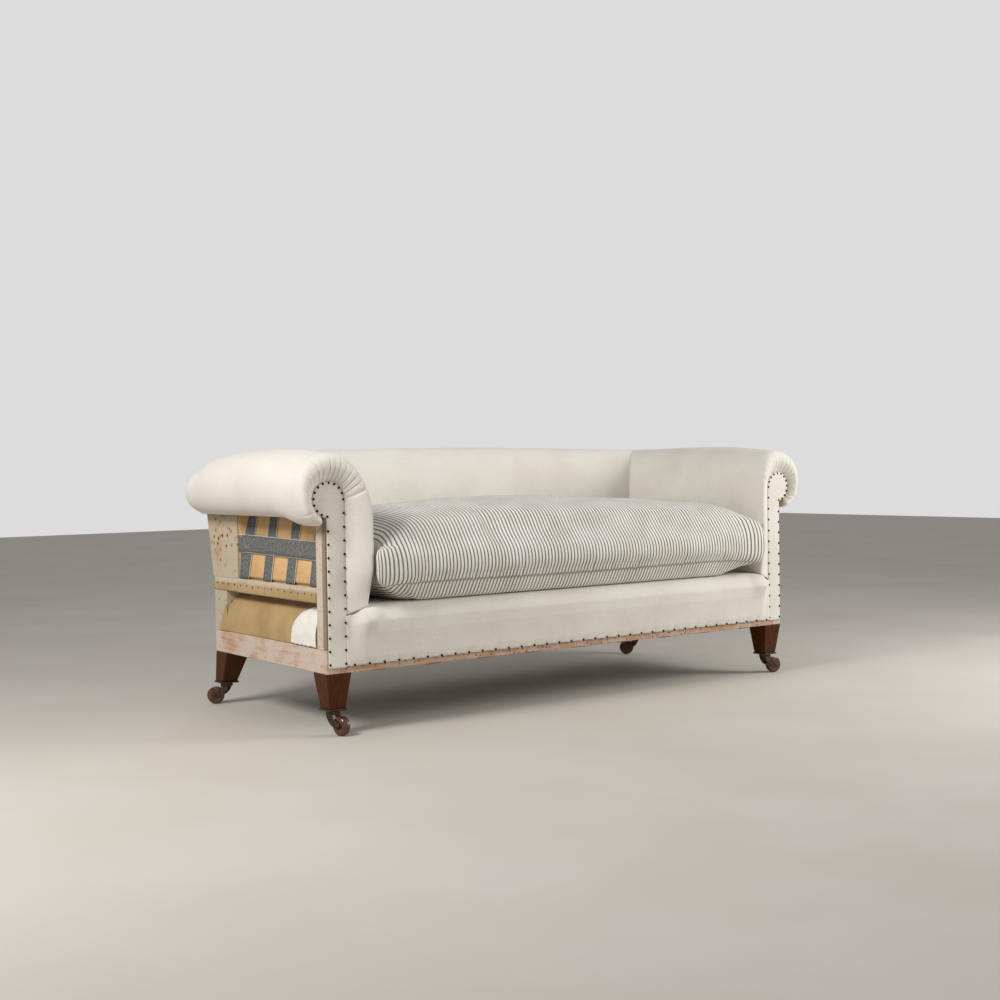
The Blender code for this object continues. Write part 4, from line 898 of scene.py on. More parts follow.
@dataclass
class ArmPad:
    """A stuffed arm under calico, pleated round its scroll and rolled over the arm rail."""

    side: Side
    columns: int = 150
    rows: int = 280
    low_rows: float = 0.24
    low_share: float = 0.38
    flat: Point = (0.86, 0.73)
    low_bulge: float = 0.022
    bulge: float = 0.042
    scroll_bulge: float = 0.022
    rounding: float = 0.018
    scroll_rounding: float = 0.030
    crest: float = 0.82
    scroll_crest: float = 0.50
    square: float = 0.7
    droop: float = 0.006
    droop_run: float = 0.16
    hang: float = 0.025
    hang_share: float = 0.12
    crown: float = 0.008
    nail_radius: float = 0.0465
    nail_end: float = -56.0
    pleats: int = 17
    pleat_depth: float = 0.0027
    pleat_width: float = 0.080
    crease_depth: float = 0.0028
    crease_width: float = 0.006
    lift_span: Point = (0.05, 0.19)
    front_end: float = 0.22
    along_end: float = 0.80
    mitre_end: float = 0.86
    lining_start: float = 0.03

    def nail(self, share: float) -> Point:
        """The edge of the scroll facing that the padding meets, in step with the outside."""
        centre = PLAN.scroll_x - PLAN.arm_face
        stem = centre - self.nail_radius
        if share < FACE_END:
            return stem, toward(PLAN.pad_bottom, ARM_SECTION.shoulder, share / FACE_END)
        if share < STEM_END:
            part = part_of(share, FACE_END, STEM_END)
            return stem, toward(ARM_SECTION.shoulder, PLAN.scroll_height, part)
        angle = math.radians(self.nail_angle(share))
        height = PLAN.scroll_height + self.nail_radius * math.sin(angle)
        return centre + self.nail_radius * math.cos(angle), height

    def nail_angle(self, share: float) -> float:
        """Where a share is round the scroll, in degrees from its outer side."""
        if share < SHOULDER_END:
            return toward(180.0, 90.0, part_of(share, STEM_END, SHOULDER_END))
        if share < ROLL_END:
            return toward(90.0, 0.0, part_of(share, SHOULDER_END, ROLL_END))
        return self.nail_end * part_of(share, ROLL_END, 1.0)

    def share(self, up: float) -> float:
        """Puts more rows round the scroll than up the plain band below it."""
        return paced(up, self.low_rows, self.low_share)

    def lift(self, along: float) -> float:
        """How much the underside is lifted behind the scroll."""
        return UNDERSIDE_LIFT * within(along - PLAN.front, self.lift_span)

    def place(self, around: float, up: float) -> Place:
        """Where the cloth is, from its share round the pad and its share up the section.

        Args:
            around: From the nails, over the front, along the arm, into the corner and back inside.
            up: From the deck to the end of the underside.

        Returns:
            The point.
        """
        share = self.share(up)
        outer = ARM_SECTION.outer(share)
        nail = self.nail(share)
        hollow = ARM_SECTION.hollow(share)
        reach = math.dist(outer, nail)
        upper = eased(part_of(share, FACE_END, SHOULDER_END))
        crest = toward(self.crest, self.scroll_crest, upper)
        full = toward(self.low_bulge, self.bulge, eased(share / 0.14))
        bulge = min(toward(full, self.scroll_bulge, upper), 0.6 * reach)
        droop = self.droop * ARM_SECTION.crown(outer[1])
        rounding = min(toward(self.rounding, self.scroll_rounding, min(2 * share, 1.0)), 0.8 * reach)
        scale = BACK_SECTION.thickness / ARM_SECTION.thickness
        drawn = ARM_SECTION.drawn_in(outer[0], hollow[0])
        corner = PLAN.back_face + drawn * scale - PLAN.fit
        start = corner - CORNER_ROUNDING * ARM_SECTION.turned(outer[0])
        first = PLAN.front + rounding
        rise = 0.0
        if around < self.front_end:
            part = 2 * around / self.front_end
            along = PLAN.front - PLAN.fit - bulge
            if part < 1:
                step = crest * part
                along += bulge * (1 - part * (1.25 - 0.25 * part * part))
            else:
                turn = QUARTER * (part - 1)
                step = toward(crest, 1.0, math.sin(turn) ** self.square)
                along += (bulge + PLAN.fit + rounding) * (1 - math.cos(turn) ** self.square)
            spot = between(nail, outer, step)
            hang = self.hang * max(1 - share / self.hang_share, 0.0) ** 2
            rise = -hang * (1 - step) - droop * step
        elif around < self.along_end:
            part = part_of(around, self.front_end, self.along_end)
            along = toward(first, start, part)
            spot = ARM_SECTION.outer(share, self.lift(along))
            rise = self.crown * ARM_SECTION.crown(outer[1]) * math.sin(math.pi * part)
            rise -= droop * (1 - eased((along - first) / self.droop_run))
        elif around < self.mitre_end:
            part = part_of(around, self.along_end, self.mitre_end)
            along = toward(start, corner, part)
            lifted = ARM_SECTION.outer(share, UNDERSIDE_LIFT)
            spot = (toward(outer[0], drawn, part**2), lifted[1])
        else:
            spot, along = self.inside(around, share, nail, drawn, corner)
        across = self.side.value * (PLAN.arm_face + spot[0])
        inner = held(4 * part_of(around, self.mitre_end, 1.0))
        rise -= settled(across, along) * ARM_SECTION.crown(outer[1]) * (1 - inner)
        return across, along, spot[1] + rise

    def inside(
        self, around: float, share: float, nail: Point, drawn: float, corner: float
    ) -> tuple[Point, float]:
        """The hidden inside of the pad, from the corner forward to the post and out to the nails.

        Args:
            around: Share round the pad, past the corner.
            share: Share of the section.
            nail: The facing's edge at this share.
            drawn: Distance out of the outside at the corner.
            corner: How far back the corner is.

        Returns:
            The point of the section, and its place from front to back.
        """
        part = part_of(around, self.mitre_end, 1.0)
        hollow = ARM_SECTION.hollow(share, UNDERSIDE_LIFT)
        outer = (drawn, ARM_SECTION.outer(share, UNDERSIDE_LIFT)[1])
        scale = BACK_SECTION.thickness / ARM_SECTION.thickness
        rear = PLAN.back_face + min(hollow[0] * scale, BACK_SECTION.hollow(share)[0]) - PLAN.fit
        post = PLAN.post_back + 2 * PLAN.fit
        if part < 0.25:
            step = part / 0.25
            return between(outer, hollow, step), toward(corner, rear, step)
        if part < 0.75:
            along = toward(rear, post, part_of(part, 0.25, 0.75))
            return ARM_SECTION.hollow(share, self.lift(along)), along
        low = ARM_SECTION.hollow(share, self.lift(post))
        if part < 0.875:
            return between(low, nail, part_of(part, 0.75, 0.875)), post
        return nail, toward(post, PLAN.front - PLAN.fit, part_of(part, 0.875, 1.0))

    def folded(self, around: float, share: float) -> float:
        """How far the cloth rises or dips for the pleats that run out from the scroll's nails."""
        if around > self.front_end * 1.5:
            return 0.0
        out = around / self.front_end
        band = math.exp(-(((share - STEM_END + 0.004) / self.crease_width) ** 2))
        crease = -self.crease_depth * band * eased(out / 0.1) * (1 - eased((out - 0.75) / 0.25))
        if share < STEM_END:
            return crease
        turned = part_of(self.nail_angle(share), 180.0, self.nail_end) * self.pleats
        number = round(turned)
        jitter = 0.30 * noise.noise(Vector((number * 3.7, 1.3, 0.4)))
        length = 0.90 + 0.55 * noise.noise(Vector((number * 1.9, 7.1, 2.2)))
        groove = math.exp(-(((turned - number - jitter) / self.pleat_width) ** 2))
        spread = eased(out / 0.08) * (1 - eased((out - 0.35 * length) / (0.75 * length)))
        softer = 0.80 + 0.20 * eased((self.nail_angle(share) + 20) / 100)
        started = eased((share - STEM_END) / 0.012)
        return crease + started * softer * spread * self.pleat_depth * (0.15 - groove)

    def build(self, finishes: Finishes) -> None:
        """Makes the arm's cloth."""
        shape = cloth_grid(self.columns, self.rows, self.place, self.flat)
        line_inside(shape, self.mitre_end + self.lining_start)
        close_tube(shape)
        across = shape.verts.layers.float["across"]
        up = shape.verts.layers.float["up"]
        seed = 3.0 + self.side.value

        def rise(vert: Vert) -> float:
            """Pleats at the scroll, and slow unevenness of the stuffing over the visible outside."""
            if vert[across] >= self.along_end:
                return 0.0
            inside = eased(vert[across] / 0.03) * eased(vert[up] / 0.04) * eased((1 - vert[up]) / 0.03)
            calm = inside * eased((self.along_end - vert[across]) / 0.06)
            lumps = 0.0011 * rippled(vert.co, 0.12, seed) + 0.0004 * rippled(vert.co, 0.035, seed)
            return self.folded(vert[across], self.share(vert[up])) + calm * lumps

        displace(shape, rise)
        word = self.side.word
        cloths = (finishes.calico, finishes.canvas)
        piece = add_piece(
            f"{word}_arm_calico", shape, cloths, stands_for=(f"{word}_arm_pad",)
        )


@dataclass
class BackPad:
    """The stuffed back under calico, rolled over the back rail and mitred into both arms."""

    columns: int = 210
    rows: int = 120
    flat: Point = (2.1, 0.73)
    crown: float = 0.015
    mitre_end: float = 0.07
    outside_end: float = 0.86
    lining_start: float = 0.02
    hidden_turn: float = 0.15

    def place(self, around: float, up: float) -> Place:
        """Where the cloth is, from its share round the pad, from the left corner, and up the section."""
        outer = BACK_SECTION.outer(up)
        lifted = BACK_SECTION.outer(up, UNDERSIDE_LIFT)
        hollow = BACK_SECTION.hollow(up, UNDERSIDE_LIFT)
        scale = ARM_SECTION.thickness / BACK_SECTION.thickness
        drawn = BACK_SECTION.drawn_in(outer[0], hollow[0])
        corner = PLAN.arm_face + drawn * scale - PLAN.fit
        start = corner - CORNER_ROUNDING * BACK_SECTION.turned(outer[0]) - PLAN.fit
        end = PLAN.arm_face + hollow[0] * scale - PLAN.fit
        if hollow[0] <= BACK_SECTION.hollow_top:
            end = min(end, PLAN.back_post_inner - 2 * PLAN.fit)
        right_mitre = self.outside_end - self.mitre_end
        rise = 0.0
        inner = 0.0
        if around <= self.mitre_end or right_mitre <= around <= self.outside_end:
            sign = -1 if around <= self.mitre_end else 1
            near = around if sign < 0 else self.outside_end - around
            part = near / self.mitre_end
            spot = (toward(outer[0], drawn, (1 - part) ** 2), lifted[1])
            across = sign * toward(corner, start, part)
        elif around < right_mitre:
            part = part_of(around, self.mitre_end, right_mitre)
            spot = lifted
            across = toward(-start, start, part)
            rise = self.crown * BACK_SECTION.crown(outer[1]) * math.sin(math.pi * part) ** 0.7
        else:
            part = part_of(around, self.outside_end, 1.0)
            sign = 1 if part < 0.5 else -1
            inner = min(min(part, 1 - part) / self.hidden_turn, 1.0)
            if inner < 1:
                spot = between((drawn, lifted[1]), hollow, inner)
                across = sign * toward(corner, end, inner)
            else:
                spot = hollow
                across = toward(end, -end, part_of(part, self.hidden_turn, 1 - self.hidden_turn))
        rise -= settled(across, PLAN.back_face + spot[0]) * BACK_SECTION.crown(outer[1]) * (1 - inner)
        return across, PLAN.back_face + spot[0], spot[1] + rise

    def build(self, finishes: Finishes) -> None:
        """Makes the back's cloth."""
        shape = cloth_grid(self.columns, self.rows, self.place, self.flat)
        line_inside(shape, self.outside_end + self.lining_start)
        close_tube(shape)
        across = shape.verts.layers.float["across"]
        up = shape.verts.layers.float["up"]

        def rise(vert: Vert) -> float:
            """Slow unevenness of the stuffing over the visible outside."""
            calm = eased(vert[across] / 0.08) * eased((self.outside_end - vert[across]) / 0.08)
            calm *= eased(vert[up] / 0.05) * eased((1 - vert[up]) / 0.05)
            return calm * (0.0013 * rippled(vert.co, 0.16, 9.0) + 0.0004 * rippled(vert.co, 0.05, 4.0))

        displace(shape, rise)
        cloths = (finishes.calico, finishes.canvas)
        piece = add_piece("back_calico", shape, cloths, stands_for=("back_pad",))


@dataclass
class SeatCover:
    """The stuffed seat with its calico border, tacked along the front rail."""

    columns: int = 250
    rows: int = 110
    border_rows: float = 0.55
    tack_height: float = 0.1786
    end_drop: float = 0.022
    packing: float = 0.014
    rear_rounding: float = 0.025
    rail_width: float = 0.040
    canvas_top: float = 0.2854
    face: float = -0.3605
    tack_pitch: float = 0.0455
    tack_inset: float = 0.0045
    pucker: float = 0.0016
    scallop: float = 0.0012
    # Spans across, up and forward over which the border's ends drop, are packed and go back to the post
    drop_across: Point = (0.742, 0.792)
    drop_up: Point = (0.25, 0.33)
    drop_forward: Point = (-0.325, -0.355)
    packed_in: Point = (0.680, 0.725)
    packed_out: Point = (0.752, 0.792)
    packed_up: Point = (0.25, 0.31)
    packed_forward: Point = (-0.330, -0.360)
    flush_across: Point = (0.738, 0.790)
    flush_gap: float = 0.0015
    nose_centre: Point = (-0.3420, 0.2850)
    nose_reach: float = 0.0475
    section: Path = field(init=False)
    border_share: float = field(init=False)

    def __post_init__(self) -> None:
        """Draws the section, from the tacks up the border, over the deck and round underneath."""
        # How far the border stands out from the rail's face, and how far above the tacks
        swells = ((0.0, 0.0), (0.0045, 0.0025), (0.0110, 0.0210), (0.0180, 0.0570), (0.0245, 0.0870))
        border = [(self.face - out, self.tack_height + rise) for out, rise in swells]
        border += arc(self.nose_centre, (self.nose_reach, PLAN.deck_top - self.nose_centre[1]), 168, 90, 20)
        rear = PLAN.rear - PLAN.fit
        foot = PLAN.rail_top + PLAN.fit
        turn = self.rear_rounding
        rest = arc((rear - turn, PLAN.deck_top - turn), (turn, turn), 90, 0, 5)
        rest += [
            (rear, foot),
            (PLAN.rear - self.rail_width, foot),
            (PLAN.rear - self.rail_width, self.canvas_top),
            (PLAN.front + self.rail_width, self.canvas_top),
            (PLAN.front + self.rail_width, foot),
            (PLAN.front - PLAN.fit, foot),
            (PLAN.front - PLAN.fit, self.tack_height),
            (self.face, self.tack_height),
        ]
        self.section = Path(border + rest)
        self.border_share = Path(border).length / self.section.length

    def share(self, up: float) -> float:
        """Puts most rows on the border."""
        return paced(up, self.border_rows, self.border_share)

    def tack_places(self) -> list[float]:
        """Where the tacks are across the border."""
        reach = PLAN.border_half - 0.02
        return spaced(-reach, reach, round(2 * reach / self.tack_pitch) + 1)

    def place(self, across: float, up: float) -> Place:
        """Where the cloth is, from its share across and its share round the section."""
        along, height = self.section.at(self.share(up))
        side = (2 * across - 1) * PLAN.border_half
        if up < self.border_rows + 0.02:
            wide = abs(side)
            packed = within(wide, self.packed_in) * (1 - within(wide, self.packed_out))
            packed *= within(height, self.packed_up) * within(along, self.packed_forward)
            drop = within(wide, self.drop_across) * eased((height - self.tack_height) / 0.09)
            drop *= within(along, self.drop_forward) * within(height, self.drop_up)
            height -= self.end_drop * drop
            along -= self.packing * packed
            along += max(self.face - self.flush_gap - along, 0.0) * within(wide, self.flush_across)
        return side, along, height

    def build(self, finishes: Finishes) -> None:
        """Makes the seat's cloth, puckered at its tacks, and the tacks."""
        shape = cloth_grid(self.columns, self.rows, self.place, (2 * PLAN.border_half, self.section.length))
        up = shape.verts.layers.float["up"]
        for face in shape.faces:
            if min(vert[up] for vert in face.verts) > self.border_rows + 0.1:
                face.material_index = 1
        close_tube(shape)
        places = self.tack_places()
        pitch = places[1] - places[0]

        def wave(vert: Vert) -> float:
            """The cloth's wave from tack to tack: 1 at a tack, -1 halfway to the next."""
            return math.cos(2 * math.pi * (vert.co.x - places[0]) / pitch)

        def rise(vert: Vert) -> float:
            """Puckers that fade up from the tacks, and slow unevenness of the stuffing."""
            if vert[up] > self.border_rows:
                return 0.0
            walked = self.share(vert[up]) * self.section.length
            pucker = -self.pucker * wave(vert) * math.exp(-walked / 0.016) * eased(walked / 0.004)
            calm = eased(vert[up] / 0.1) * eased((PLAN.border_half - abs(vert.co.x)) / 0.05)
            calm *= eased((self.border_rows - vert[up]) / 0.12)
            lumps = 0.0016 * rippled(vert.co, 0.15, 2.0) + 0.0005 * rippled(vert.co, 0.045, 6.0)
            return pucker + calm * lumps

        displace(shape, rise)
        for vert in shape.verts:
            if vert.co.y < PLAN.front and vert[up] < self.border_rows:
                edge = math.exp(-(((vert.co.z - self.tack_height) / 0.005) ** 2))
                vert.co.z += self.scallop * (1 - wave(vert)) * edge
        cloths = (finishes.calico, finishes.hessian)
        piece = add_piece("seat_calico", shape, cloths, stands_for=("seat_pad",))
        line = self.section.at(0.006)[0]
        spots = [Vector((across, line - 0.0012, self.tack_height + self.tack_inset)) for across in places]
        Tacks("front_rail_tacks", FORWARD).build(spots, finishes)


# Tacks and facings


@dataclass
class Tacks:
    """Domed tacks driven side by side, all facing one way."""

    name: str
    facing: Vector
    radius: float = 0.0036
    height: float = 0.0024

    def build(self, spots: Sequence[Vector], finishes: Finishes) -> None:
        """Drives a tack at each spot."""
        shape = bmesh.new()
        turn = self.facing.to_track_quat("Z", "Y").to_matrix().to_4x4()
        dome = turn @ Matrix.Diagonal((self.radius, self.radius, self.height, 1.0))
        for spot in spots:
            matrix = Matrix.Translation(spot) @ dome
            bmesh.ops.create_uvsphere(shape, u_segments=8, v_segments=5, radius=1.0, matrix=matrix)
        add_piece(self.name, shape, (finishes.tacks,))


@dataclass
class ScrollFacing:
    """The calico panel tacked on the front of a scroll post."""

    side: Side
    columns: int = 16
    rows: int = 120
    stem_rows: float = 0.6
    inner: float = 0.7928
    outer: float = 0.8468
    bottom: float = 0.1776
    radius: float = 0.0470
    back: float = -0.3588
    thickness: float = 0.0016
    overlap: float = 0.0007
    swell: float = 0.0020
    first_tack: float = 0.010
    tack_lift: float = 0.0026
    tack_inset: float = 0.0034
    tack_pitch: float = 0.0355
    ring_pitch: float = 0.0165
    ring_turn: float = 265.0

    @property
    def flat(self) -> Point:
        """Width and length of the cloth that the panel is cut from."""
        return 2 * self.radius, PLAN.scroll_height + self.radius - self.bottom

    def height(self, up: float) -> float:
        """Height at a share up the panel, with rows drawn together at the round top."""
        if up < self.stem_rows:
            return toward(self.bottom, PLAN.scroll_height - self.radius, up / self.stem_rows)
        angle = QUARTER * (2 * part_of(up, self.stem_rows, 1.0) - 1)
        return PLAN.scroll_height + self.radius * math.sin(angle)

    def edges(self, height: float) -> Point:
        """The inner and outer edge at a height."""
        above = height - PLAN.scroll_height
        half = math.sqrt(max(self.radius**2 - above**2, 0.0))
        inner = self.inner if above < 0 else PLAN.scroll_x - half
        outer = self.outer if above < -self.radius else max(self.outer, PLAN.scroll_x + half)
        return inner, outer

    def place(self, across: float, up: float) -> Place:
        """Where the cloth is, drawn down to its edges and a little full between them."""
        height = self.height(up)
        inner, outer = self.edges(height)
        full = math.sin(math.pi * across) ** 0.6
        span = min((outer - inner) / (self.outer - self.inner), 1.0)
        lapped = self.overlap * (1 - across) if height < PLAN.scroll_height else self.overlap
        out = self.side.value * toward(inner, outer, across)
        return out, self.back - lapped - self.swell * full * span, height

    def tack_spots(self) -> list[Vector]:
        """Two rows up the stem and a ring round the scroll."""
        spots = []
        low = self.bottom + self.first_tack
        stem_tops = {
            self.inner + self.tack_inset: PLAN.scroll_height,
            self.outer - self.tack_inset: PLAN.scroll_height - self.radius,
        }
        for across, high in stem_tops.items():
            count = round((high - low) / self.tack_pitch)
            spots += [(across, height) for height in spaced(low, high, count + 1)[:-1]]
        ring = self.radius - self.tack_inset
        count = round(math.radians(self.ring_turn) * ring / self.ring_pitch)
        centre = (PLAN.scroll_x, PLAN.scroll_height)
        spots += arc(centre, (ring, ring), 180, 180 - self.ring_turn, count)
        depth = self.back - self.tack_lift
        return [Vector((self.side.value * across, depth, height)) for across, height in spots]

    def build(self, finishes: Finishes) -> None:
        """Makes the panel and its tacks."""
        shape = cloth_grid(self.columns, self.rows, self.place, self.flat)
        bmesh.ops.remove_doubles(shape, verts=shape.verts, dist=WELD)
        bmesh.ops.recalc_face_normals(shape, faces=shape.faces)
        if sum(face.normal.y for face in shape.faces) > 0:
            bmesh.ops.reverse_faces(shape, faces=shape.faces)
        area = sum(face.calc_area() for face in shape.faces)
        word = self.side.word
        piece = add_piece(
            f"{word}_facing_calico",
            shape,
            (finishes.calico,),
            stands_for=(f"{word}_facing",),
            thickness=self.thickness,
        )
        self.flat
        Tacks(f"{word}_facing_tacks", FORWARD).build(self.tack_spots(), finishes)


# Loose cushion


@dataclass
class SeatCushion:
    """The loose feather cushion in striped ticking, sewn along a low seam and crowned on top."""

    front: float = -0.4320
    rear: float = 0.2275
    half_width: float = 0.7215
    flare: Point = (0.030, 0.014)
    flare_start: float = -0.398
    flare_run: float = 0.016
    low_seam: float = 0.047
    seam_rise: float = 0.011
    seam_drop: float = 0.013
    corner_top: Point = (0.152, 0.180)
    top_edge: float = 0.172
    right_edge: float = 0.192
    nose: float = 0.035
    full_height: float = 0.260
    right_dip: float = 0.013
    side_bulge: float = 0.014
    draw_in: float = 0.006
    corner: float = 0.004
    slack: float = 0.005
    cuts: tuple[int, int, int] = (179, 59, 19)
    softening: int = 14
    corner_softening: int = 7
    pressure: float = 4.0
    frames: int = 20
    cap: float = 0.014
    seam_shrink: float = 0.05
    tucks: int = 15
    tuck_depth: float = 0.0042
    tuck_width: float = 0.0065
    under_shift: float = 0.003
    seam_pull: float = 0.002
    arm_gap: float = 0.0008
    back_gap: float = 0.002
    deck_gap: float = 0.0005
    # Shares of the half width or depth over which the dip starts and ends, the corners get firm and the
    # underside rises to the seam
    dip_in: Point = (-0.10, 0.40)
    dip_out: Point = (0.70, 0.95)
    firm_across: Point = (0.78, 0.98)
    firm_along: Point = (0.55, 0.90)
    under_rise: Point = (0.78, 0.92)

    @property
    def half_depth(self) -> float:
        """Half the cushion's length from front to back."""
        return (self.rear - self.front) / 2

    @property
    def middle(self) -> float:
        """The cushion's middle from front to back."""
        return (self.front + self.rear) / 2

    def flared(self, across: float, along: float) -> float:
        """How far past the arms' faces the cushion may spread at a place, in front of the arms."""
        return self.flare[across > 0] * eased((self.flare_start - along) / self.flare_run)

    def seam_height(self, across: float) -> float:
        """How far the seam is above the deck at a share across: most in the middle, least at the right."""
        return self.low_seam + self.seam_rise * (1 - across**4) - self.seam_drop * max(across, 0.0) ** 8

    def shaped(self, cube: Vector) -> Vector:
        """Where a point of the two-unit cube goes on the slack cushion."""
        across, along, up = cube
        rounded = self.side_bulge * up**4
        corner = self.corner * (across * along) ** 6
        nose = self.nose * ((up + 1) / 2) ** 3 * (1 - across**6) * max(-along, 0.0) ** 4
        drawn = self.draw_in * (1 - across * across) * up * up
        reach_y = self.half_depth - rounded - nose - drawn - self.slack
        place = self.middle + along * (reach_y - corner)
        reach_x = self.half_width - rounded - self.draw_in * (1 - along * along) - self.slack
        spread = math.copysign(self.flared(across, place) * across**24, across)
        flat = (1 - abs(across) ** 3) * (1 - along**2)
        low = self.seam_height(across) * (1 - (1 - across**12) * (1 - along**10))
        edge = toward(self.top_edge, self.right_edge, max(across, 0.0) ** 6 * (1 - along**4))
        edge -= (self.top_edge - self.corner_top[across > 0]) * (across * along) ** 6
        high = edge + (self.full_height - self.top_edge) * flat**0.5 - self.slack
        dipped = within(across, self.dip_in) * (1 - within(across, self.dip_out))
        high -= self.right_dip * dipped * (1 - along**4)
        height = PLAN.pad_bottom + toward(low, high, (up + 1) / 2)
        return Vector((across * (reach_x - corner) + spread, place, height))

    def stripes(self, normal: Vector, spot: Vector) -> Point:
        """The cloth's own map: stripes run from front to back, down the front and up the ends."""
        if abs(normal.x) > 0.9:
            return math.copysign(abs(spot.x) + spot.y - self.front, spot.x), self.half_depth - spot.z
        if abs(normal.y) > 0.9:
            return spot.x, self.half_depth - spot.z
        return spot.x + (self.under_shift if normal.z < 0 else 0.0), spot.y

    def build(self, finishes: Finishes) -> None:
        """Sews the cushion, fills it by simulation and sets it on the deck."""
        shape = bmesh.new()
        weave = shape.loops.layers.uv.new(CLOTH_MAP)
        bmesh.ops.create_cube(shape, size=2.0)
        for axis, cuts in enumerate(self.cuts):
            edges = [e for e in shape.edges if abs((e.verts[0].co - e.verts[1].co)[axis]) > 1.0]
            bmesh.ops.subdivide_edges(shape, edges=edges, cuts=cuts, use_grid_fill=True)
        shape.normal_update()
        shape.verts.index_update()
        # Points of the cube's sides are one unit out, give or take rounding
        side = 0.999
        rim = [vert for vert in shape.verts if max(abs(vert.co.x), abs(vert.co.y)) > side]
        seam = [vert.index for vert in rim if vert.co.z < -side]
        under = [vert.index for vert in shape.verts if vert.co.z < -side]
        front = [vert.index for vert in shape.verts if vert.co.y < -side]
        upper = [vert for vert in shape.verts if vert.co.z > 0.3]
        rounded = [vert for vert in upper if max(abs(vert.co.x) - 0.05, abs(vert.co.y)) > 0.85]
        upright = [vert for vert in shape.verts if abs(vert.co.x) > 0.95 and abs(vert.co.y) > 0.88]
        for vert in shape.verts:
            vert.co = self.shaped(vert.co)
        for face in shape.faces:
            for loop in face.loops:
                loop[weave].uv = self.stripes(face.normal, loop.vert.co)
        for _ in range(self.softening):
            bmesh.ops.smooth_vert(shape, verts=rounded, factor=0.5, use_axis_y=True, use_axis_z=True)
        for _ in range(self.corner_softening):
            bmesh.ops.smooth_vert(shape, verts=upright, factor=0.5, use_axis_x=True, use_axis_y=True)
        cloths = (finishes.ticking,)
        piece = add_piece("cushion_ticking", shape, cloths, "cushion", ("seat_cushion",))
        self.fill(piece, seam)
        self.tuck(piece, front)
        self.settle(piece, seam, under)
        # Marks the seam's points, where the ticking paints the shade of the seam's groove
        sewn = piece.data.attributes.new(SEAM_SHADE_MARK, "FLOAT", "POINT")
        for index in seam:
            sewn.data[index].value = 1.0
        step = piece.modifiers.new("soft cloth", "SUBSURF")
        step.levels = 1
        step.render_levels = 1

    def tuck(self, piece: Piece, front: Sequence[int]) -> None:
        """Presses in the short upright creases that the seam draws in the front."""
        seam = PLAN.pad_bottom + self.low_seam
        for number in range(self.tucks):
            wander = noise.noise(Vector((number * 2.3, 0.7, 4.1)))
            centre = self.half_width * (1.8 * (number + 0.5) / self.tucks - 0.9) + 0.045 * wander
            length = 0.065 + 0.04 * noise.noise(Vector((number * 1.7, 5.2, 0.3)))
            for index in front:
                vert = piece.data.vertices[index]
                off = (vert.co.x - centre - 0.1 * wander * (vert.co.z - seam)) / self.tuck_width
                if abs(off) < 3.0:
                    fade = 1 - eased((vert.co.z - seam) / length)
                    fold = math.exp(-off * off) - 0.4 * math.exp(-((abs(off) - 1.6) ** 2))
                    vert.co.y += self.tuck_depth * (0.8 + wander) * fade * fold

    def fill(self, piece: Piece, seam: Sequence[int]) -> None:
        """Blows the cushion up by cloth simulation with its seam drawn tight, and keeps the result.

        The four corners are packed firm, so that they keep the shape they are sewn to.
        """
        group = piece.vertex_groups.new(name="seam")
        group.add(list(seam), 1.0, "REPLACE")
        cloth = piece.modifiers.new("filling", "CLOTH")
        ways = {
            "quality": 6,
            "mass": 0.3,
            "tension_stiffness": 20.0,
            "compression_stiffness": 20.0,
            "shear_stiffness": 8.0,
            "bending_stiffness": 0.8,
            "use_pressure": True,
            "uniform_pressure_force": self.pressure,
            "vertex_group_shrink": group.name,
            "shrink_min": 0.0,
            "shrink_max": self.seam_shrink,
        }
        for key, value in ways.items():
            setattr(cloth.settings, key, value)
        cloth.settings.effector_weights.gravity = 0.0
        cloth.collision_settings.use_collision = False
        cloth.point_cache.frame_start = 1
        cloth.point_cache.frame_end = self.frames
        scene = bpy.context.scene
        for number in range(1, self.frames + 1):
            scene.frame_set(number)
        seen = piece.evaluated_get(bpy.context.evaluated_depsgraph_get())
        filled = [vert.co.copy() for vert in seen.data.vertices]
        piece.modifiers.remove(cloth)
        piece.vertex_groups.remove(group)
        scene.frame_set(1)
        longest = 0.0
        for vert, spot in zip(piece.data.vertices, filled):
            firm = within(abs(vert.co.x) / self.half_width, self.firm_across)
            firm *= within(abs(vert.co.y - self.middle) / self.half_depth, self.firm_along)
            move = (spot - vert.co) * (1 - firm)
            longest = max(longest, move.length)
            if move.length > self.cap:
                move *= self.cap / move.length
            vert.co += move
        log.info("cushion filled: longest move %.1f mm before the cap", longest * 1000)

    def settle(self, piece: Piece, seam: Sequence[int], under: Sequence[int]) -> None:
        """Keeps the cushion between the arms, in front of the back and on the deck, and draws the seam in."""
        widest = PLAN.arm_face - self.arm_gap
        deepest = PLAN.back_face - self.back_gap
        centre = Vector((0.0, self.middle, 0.0))
        for index in seam:
            vert = piece.data.vertices[index]
            inward = (centre - vert.co).normalized()
            inward.z = 0.0
            vert.co += inward * self.seam_pull
        for vert in piece.data.vertices:
            reach = widest + self.flared(vert.co.x, vert.co.y)
            vert.co.x = min(max(vert.co.x, -reach), reach)
            vert.co.y = min(vert.co.y, deepest)
            vert.co.z = max(vert.co.z, PLAN.pad_bottom + self.deck_gap)
        for index in under:
            vert = piece.data.vertices[index]
            out = max(abs(vert.co.x) / self.half_width, abs(vert.co.y - self.middle) / self.half_depth)
            sewn = self.seam_height(max(min(vert.co.x / self.half_width, 1.0), -1.0))
            highest = PLAN.pad_bottom + 2 * self.deck_gap + sewn * within(out, self.under_rise)
            vert.co.z = min(vert.co.z, highest)


# Webbing, canvas and side rolls


# Thickness of hessian, canvas and wadding
COARSE_CLOTH = 0.0012


